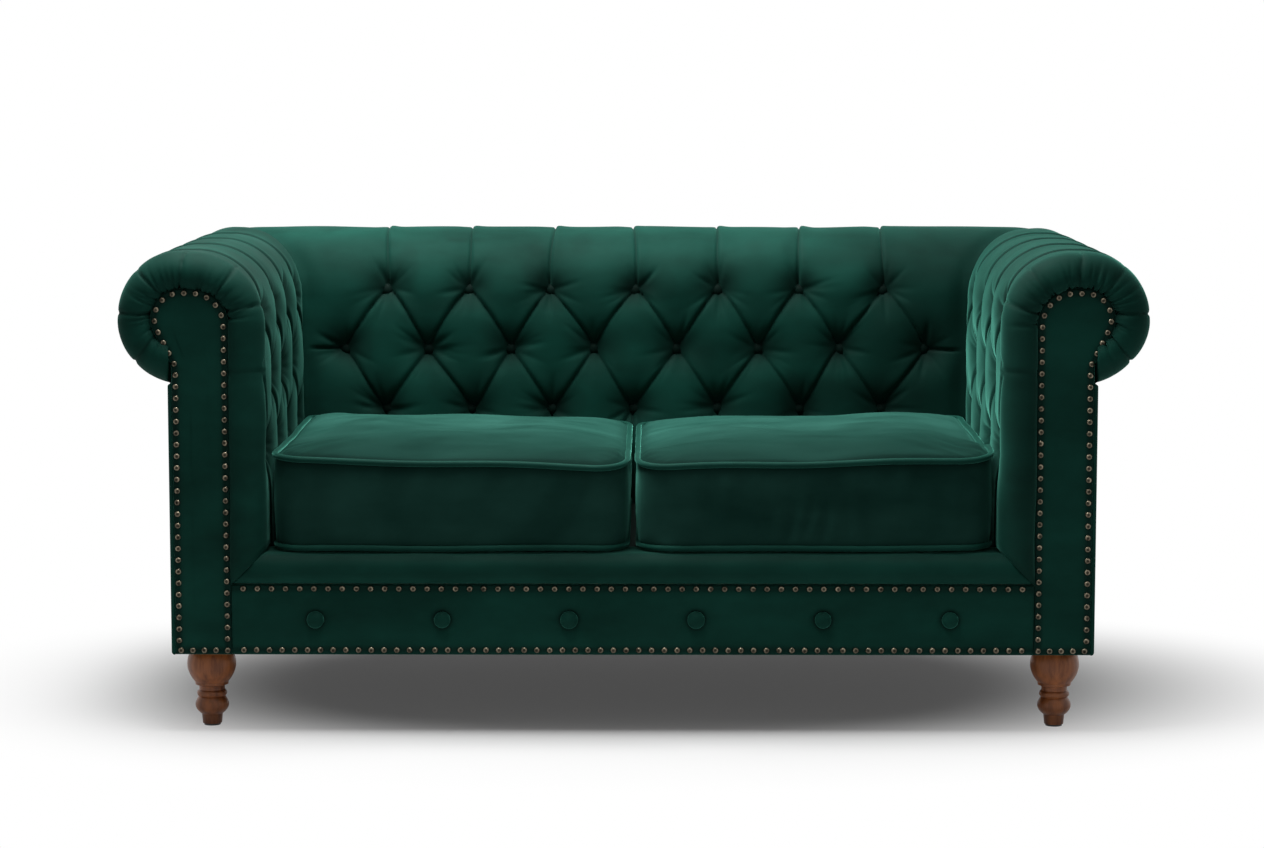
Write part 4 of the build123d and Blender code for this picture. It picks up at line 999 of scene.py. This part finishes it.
def swollenCushion():
    verts, faces = cushionStart()
    obj = piece("cushionStart", verts, faces, "velvet")
    turnOutward(obj)
    remesh = obj.modifiers.new("voxels", "REMESH")
    remesh.mode = "VOXEL"
    remesh.voxel_size = cushion["voxel"]
    bpy.context.view_layer.update()
    mesh = bpy.data.meshes.new_from_object(obj.evaluated_get(bpy.context.evaluated_depsgraph_get()))
    bpy.data.objects.remove(obj)
    start = np.empty(len(mesh.vertices) * 3)
    mesh.vertices.foreach_get("co", start)
    start = start.reshape(-1, 3)
    swell = bpy.data.objects.new("cushionSwell", mesh)
    bpy.context.collection.objects.link(swell)
    seam, edge = seamDistance(start)
    hold = swell.vertex_groups.new(name="seam")
    hold.add([int(i) for i in np.nonzero(seam < 0.0045)[0]], 1.0, "REPLACE")
    cloth = swell.modifiers.new("fill", "CLOTH")
    cloth.settings.quality = 6
    cloth.settings.use_pressure = True
    cloth.settings.uniform_pressure_force = cushion["pressure"]
    cloth.settings.effector_weights.gravity = 0.0
    cloth.settings.vertex_group_mass = "seam"
    cloth.settings.tension_stiffness = 12.0
    cloth.settings.compression_stiffness = 12.0
    cloth.settings.shear_stiffness = 5.0
    cloth.settings.bending_stiffness = 0.6
    scene = bpy.context.scene
    for step in range(1, 21):
        scene.frame_set(step)
    done = swell.evaluated_get(bpy.context.evaluated_depsgraph_get()).to_mesh()
    after = np.empty(len(done.vertices) * 3)
    done.vertices.foreach_get("co", after)
    move = after.reshape(-1, 3) - start
    swell.modifiers.remove(cloth)
    scene.frame_set(1)
    print("cushion swell, most movement", round(float(np.abs(move).max()), 4))
    # the arms, the deck and the neighbour limit how far each panel moves
    up, down = move[:, 2] > 0, move[:, 2] <= 0
    move[up, 2] = cushion["topCap"] * np.tanh(move[up, 2] / cushion["topCap"])
    move[down, 2] = cushion["lowCap"] * np.tanh(move[down, 2] / cushion["lowCap"])
    move[:, :2] = cushion["sideCap"] * np.tanh(move[:, :2] / cushion["sideCap"])
    shape = start + move
    quads = [tuple(p.vertices) for p in mesh.polygons]
    bpy.data.objects.remove(swell)
    pressed = np.where(start[:, 2] > 0.40, cushion["groove"], 0)
    shape[:, 2] -= pressed * np.exp(-(((seam - 0.007) / 0.006) ** 2))
    onTop = ease(start[:, 2], cushion["highSeam"] - 0.002, cushion["highSeam"] + 0.002)
    # painted shade in dark lines beside both seams
    shadeAndPile = 1 - 0.7 * np.exp(-((seam / (0.0085 + 0.0075 * onTop)) ** 2))
    # painted shade: the sides darker, and the top darker towards the front
    shadeAndPile *= 0.47 + onTop * (0.53 - 0.80 * (1 - ease(start[:, 1], -0.40, 0.02)))
    return shape, quads, shadeAndPile


def settle(p, side, seed):
    p = p.copy()
    rise = np.clip((p[:, 2] - cushion["lowSeam"]) / cushionHeight, 0, 1.2)
    across = (p[:, 0] - side * abs(cushion["x"])) / cushion["halfX"] * side
    p[:, 2] += rise * cushion["tilt"] * across
    # seams drawn up behind the front corners, least at the far left
    outer, inner = (0.9, 1.0) if side > 0 else (0.2, 1.0)
    corners = ease(across, 0.80, 1.0) * outer + ease(-across, 0.80, 1.0) * inner
    behind = np.exp(-(((p[:, 1] - cushion["front"] - 0.085) / 0.060) ** 2))
    p[:, 2] += rise ** 3 * cushion["cornerLift"] * corners * behind
    low = np.exp(-((rise / 0.25) ** 2))
    p[:, 2] += low * 0.0010 * (1.2 + waves(p[:, 0], p[:, 1], seed, 0.34, 0.14))
    p[:, 2] += rise * 0.0012 * waves(p[:, 0], p[:, 1], seed + 1, 0.40, 0.15)
    return p


def creased(p, side, seed):
    p = p.copy()
    onTop = ease(p[:, 2], cushion["highSeam"] - 0.004, cushion["highSeam"] + 0.008)
    p[:, 2] += onTop * 0.0012 * waves(p[:, 0], p[:, 1], seed, 0.30, 0.10)
    sideFace = (1 - onTop) * ease(p[:, 2], 0.290, 0.305)
    frontFace = sideFace * (p[:, 1] < -0.36)
    strength = 0.0013 if side > 0 else 0.0008
    p[:, 1] += frontFace * strength * waves(p[:, 0] * 2.2, p[:, 2] * 0.35, seed + 3, 0.16, 0.07)
    if side > 0:
        above = p[:, 2] - cushion["creaseZ"]
        tall = np.exp(-((above / 0.030) ** 2)) * frontFace
        for at, lean, size in cushion["creases"]:
            off = p[:, 0] - at - lean * above
            p[:, 1] += tall * size * (np.exp(-((off / 0.008) ** 2)) - 0.5 * np.exp(-(((off - 0.013) / 0.009) ** 2)))
    # flat band behind the zip
    zipBand = (p[:, 1] > 0.15) * ease(p[:, 2], 0.30, 0.33) * (1 - ease(p[:, 2], 0.375, 0.41))
    p[:, 1] = np.where(zipBand > 0, p[:, 1] * (1 - zipBand) + np.minimum(p[:, 1], 0.1866) * zipBand, p[:, 1])
    return p


def pipeTree():
    tree, start, finish = newTree("seamPiping", [
        ("Radius", "NodeSocketFloat", 0.0045), ("Finish", "NodeSocketMaterial", None),
    ])
    line = addNode(tree, "GeometryNodeMeshToCurve", {"Mesh": start.outputs["Geometry"]})
    ring = addNode(tree, "GeometryNodeCurvePrimitiveCircle", {"Resolution": 10, "Radius": start.outputs["Radius"]})
    tube = addNode(tree, "GeometryNodeCurveToMesh", {
        "Curve": line.outputs["Curve"], "Profile Curve": ring.outputs["Curve"],
    })
    soft = addNode(tree, "GeometryNodeSetShadeSmooth", {0: tube.outputs["Mesh"]})
    return closeTree(tree, start, finish, soft.outputs[0])


cushionShape, cushionQuads, cushionShade = swollenCushion()
print("cushion filled:", len(cushionQuads), "faces")
pipeNodes = pipeTree()
for side, word, seed in ((-1, "left", 121), (1, "right", 141)):
    shape = cushionShape.copy()
    faces = cushionQuads
    if side > 0:
        shape[:, 0] *= -1
        faces = [f[::-1] for f in cushionQuads]
    title = word.capitalize()
    # random brushed strokes of pile tone
    stroked = ease(waves(shape[:, 0], shape[:, 1] * 2 + shape[:, 2], seed + 11, 0.30, 0.08), 0.2, 1.2)
    # painted shade: scaled to 0.8, and lifted lighter towards the back on the right cushion
    paler = cushion["paler"] * ease(shape[:, 1], -0.25, 0.05) if side > 0 else 0
    lie = cushionShade * (0.8 + paler) * (1 - cushion["brushed"] * stroked)
    shape = settle(creased(shape, side, seed), side, seed + 7)
    obj = piece("cushion" + title, shape, faces, "velvetLitCushion", lie)
    turnOutward(obj)
    smooth = obj.modifiers.new("smooth", "SUBSURF")
    smooth.levels = smooth.render_levels = 1
    give(obj, word + "_cushion", "velvet", "cushion_cover_" + word, "cushion_core_" + word)
    loops = []
    for seamZ, proud in ((cushion["lowSeam"] + cushion["lowRise"], "lowProud"), (cushion["highSeam"], "proud")):
        x, y = cushionOutline(-cushion[proud], 320)
        loop = np.stack([-side * (cushion["x"] + x), y, np.full(len(x), seamZ)], -1)
        loops.append(lineSource(settle(loop, side, seed + 7), closed=True))
    pipe = runTree("piping" + title, joinSources(loops), pipeNodes, {"Radius": cushion["pipe"]}, "velvet")
    give(pipe, word + "_cushion", "velvet", "cushion_piping_" + word)
print("cushions piped")


# finishes of the parts that stay as built
nodeFinish = {
    "timber": (
        "front_rail", "back_rail", "side_rails", "centre_stretcher", "corner_blocks", "rear_corner_posts", "arm_top_rails",
        "arm_roll_slats", "arm_tack_rails", "back_top_rail", "back_roll_slat", "back_tack_rail", "back_centre_post",
    ),
    "plywood": ("arm_front_panel_left", "arm_front_panel_right", "arm_rear_panels", "back_end_panels"),
    "hardboard": ("arm_inner_boards", "back_inner_board"),
    "steel": ("seat_springs", "spring_clips", "foot_bolts", "tee_nuts"),
    "blackCloth": ("deck_cloth", "dust_cover", "tufting_twine"),
    "velvet": ("zip_tape_left", "zip_tape_right"),
    "bronze": ("zip_slider_left", "zip_slider_right"),
    "turnedWood": ("foot_front_left", "foot_front_right", "foot_rear_left", "foot_rear_right"),
    "nylon": ("foot_glides",),
}
for finish, names in nodeFinish.items():
    for name in names:
        mesh = nodes[name].data
        mesh.materials.clear()
        mesh.materials.append(paint[finish])
print("frame parts painted")


# floor, light and camera
studio = {
    "floor": (0.55, 0.55, 0.55), "reach": 14.0, "squash": (0.66, 1.0, 0.9), "world": 0.047,
    "glowNear": 0.06, "glowFar": 1.0, "glowFrom": 0.36, "glowTo": 0.86,
    "lens": 94.2, "sensor": 36.0, "eye": (0.0312, -5.4625, 1.0579), "lookDown": 6.5, "lookAside": 0.363,
}
lamps = {
    "keyLight": {"place": (0.4, -2.4, 3.6), "aim": (0, 0, 0.5), "power": 7.5, "size": (2.0, 2.0)},
    "fillLight": {"place": (3.6, -1.6, 1.6), "aim": (0.6, 0, 0.5), "power": 5.0, "size": (2.0, 2.0)},
    "topLight": {"place": (-0.50, -0.26, 2.45), "aim": (-0.1, 0.0, 0.3), "power": 98.0, "size": (1.4, 0.9)},
    "rearLight": {"place": (0.1, 0.6, 2.8), "aim": (0, 0.1, 0.3), "power": 20.0, "size": (1.8, 1.0)},
}


def whiteToCamera(tree, kind):
    glow = addNode(tree, kind, {"Color": (1, 1, 1, 1), "Strength": 1.0})
    path = addNode(tree, "ShaderNodeLightPath")
    rays = {0: path.outputs["Is Camera Ray"], 1: path.outputs["Is Glossy Ray"]}
    return glow.outputs[0], addNode(tree, "ShaderNodeMath", rays, operation="MAXIMUM").outputs[0]


def paleFloor():
    reach = studio["reach"]
    verts = [(x, y, -0.0002) for x, y in ((-reach, -reach), (reach, -reach), (reach, reach), (-reach, reach))]
    material = bpy.data.materials.new("studioFloor")
    material.use_nodes = True
    tree = material.node_tree
    matte = wire(tree, tree.nodes["Principled BSDF"], {"Base Color": (*studio["floor"], 1), "Roughness": 0.9})
    shown, path = whiteToCamera(tree, "ShaderNodeEmission")
    # whiter away from the sofa, plain matte where its shadow falls
    place = addNode(tree, "ShaderNodeTexCoord").outputs["Object"]
    squash = addNode(tree, "ShaderNodeMapping", {"Vector": place, "Scale": studio["squash"]})
    away = addNode(tree, "ShaderNodeVectorMath", {0: squash.outputs["Vector"]}, operation="LENGTH")
    ramp = addNode(tree, "ShaderNodeMapRange", {
        "Value": away.outputs["Value"], "From Min": studio["glowFrom"], "From Max": studio["glowTo"],
        "To Min": studio["glowNear"], "To Max": studio["glowFar"],
    }, interpolation_type="SMOOTHSTEP")
    share = addNode(tree, "ShaderNodeMath", {0: path, 1: ramp.outputs["Result"]}, operation="MULTIPLY")
    mix = addNode(tree, "ShaderNodeMixShader", {0: share.outputs[0], 1: matte.outputs[0], 2: shown})
    wire(tree, tree.nodes["Material Output"], {"Surface": mix.outputs[0]})
    paint["studioFloor"] = material
    piece("studioFloor", verts, [(0, 1, 2, 3)], "studioFloor")


def paleWorld():
    world = bpy.data.worlds.new("studioAir")
    bpy.context.scene.world = world
    world.use_nodes = True
    tree = world.node_tree
    air = wire(tree, tree.nodes["Background"], {"Color": (1, 1, 1, 1), "Strength": studio["world"]})
    shown, path = whiteToCamera(tree, "ShaderNodeBackground")
    mix = addNode(tree, "ShaderNodeMixShader", {0: path, 1: air.outputs[0], 2: shown})
    wire(tree, tree.nodes["World Output"], {"Surface": mix.outputs[0]})


def softLight(name, spec):
    data = bpy.data.lights.new(name, "AREA")
    data.shape = "RECTANGLE"
    data.size, data.size_y = spec["size"]
    data.energy = spec["power"]
    light = bpy.data.objects.new(name, data)
    bpy.context.collection.objects.link(light)
    light.location = spec["place"]
    x, y, z = np.array(spec["aim"], float) - np.array(spec["place"], float)
    light.rotation_euler = (math.atan2(math.hypot(x, y), -z), 0, math.atan2(x, -y) + math.pi)


paleFloor()
for name, spec in lamps.items():
    softLight(name, spec)
paleWorld()
lens = bpy.data.cameras.new("photoCamera")
lens.lens, lens.sensor_width = studio["lens"], studio["sensor"]
camera = bpy.data.objects.new("photoCamera", lens)
bpy.context.collection.objects.link(camera)
camera.location = studio["eye"]
camera.rotation_euler = (math.radians(90 - studio["lookDown"]), 0, math.radians(studio["lookAside"]))
bpy.context.scene.camera = camera
bpy.context.scene.view_settings.view_transform = "Standard"
print("studio lit")
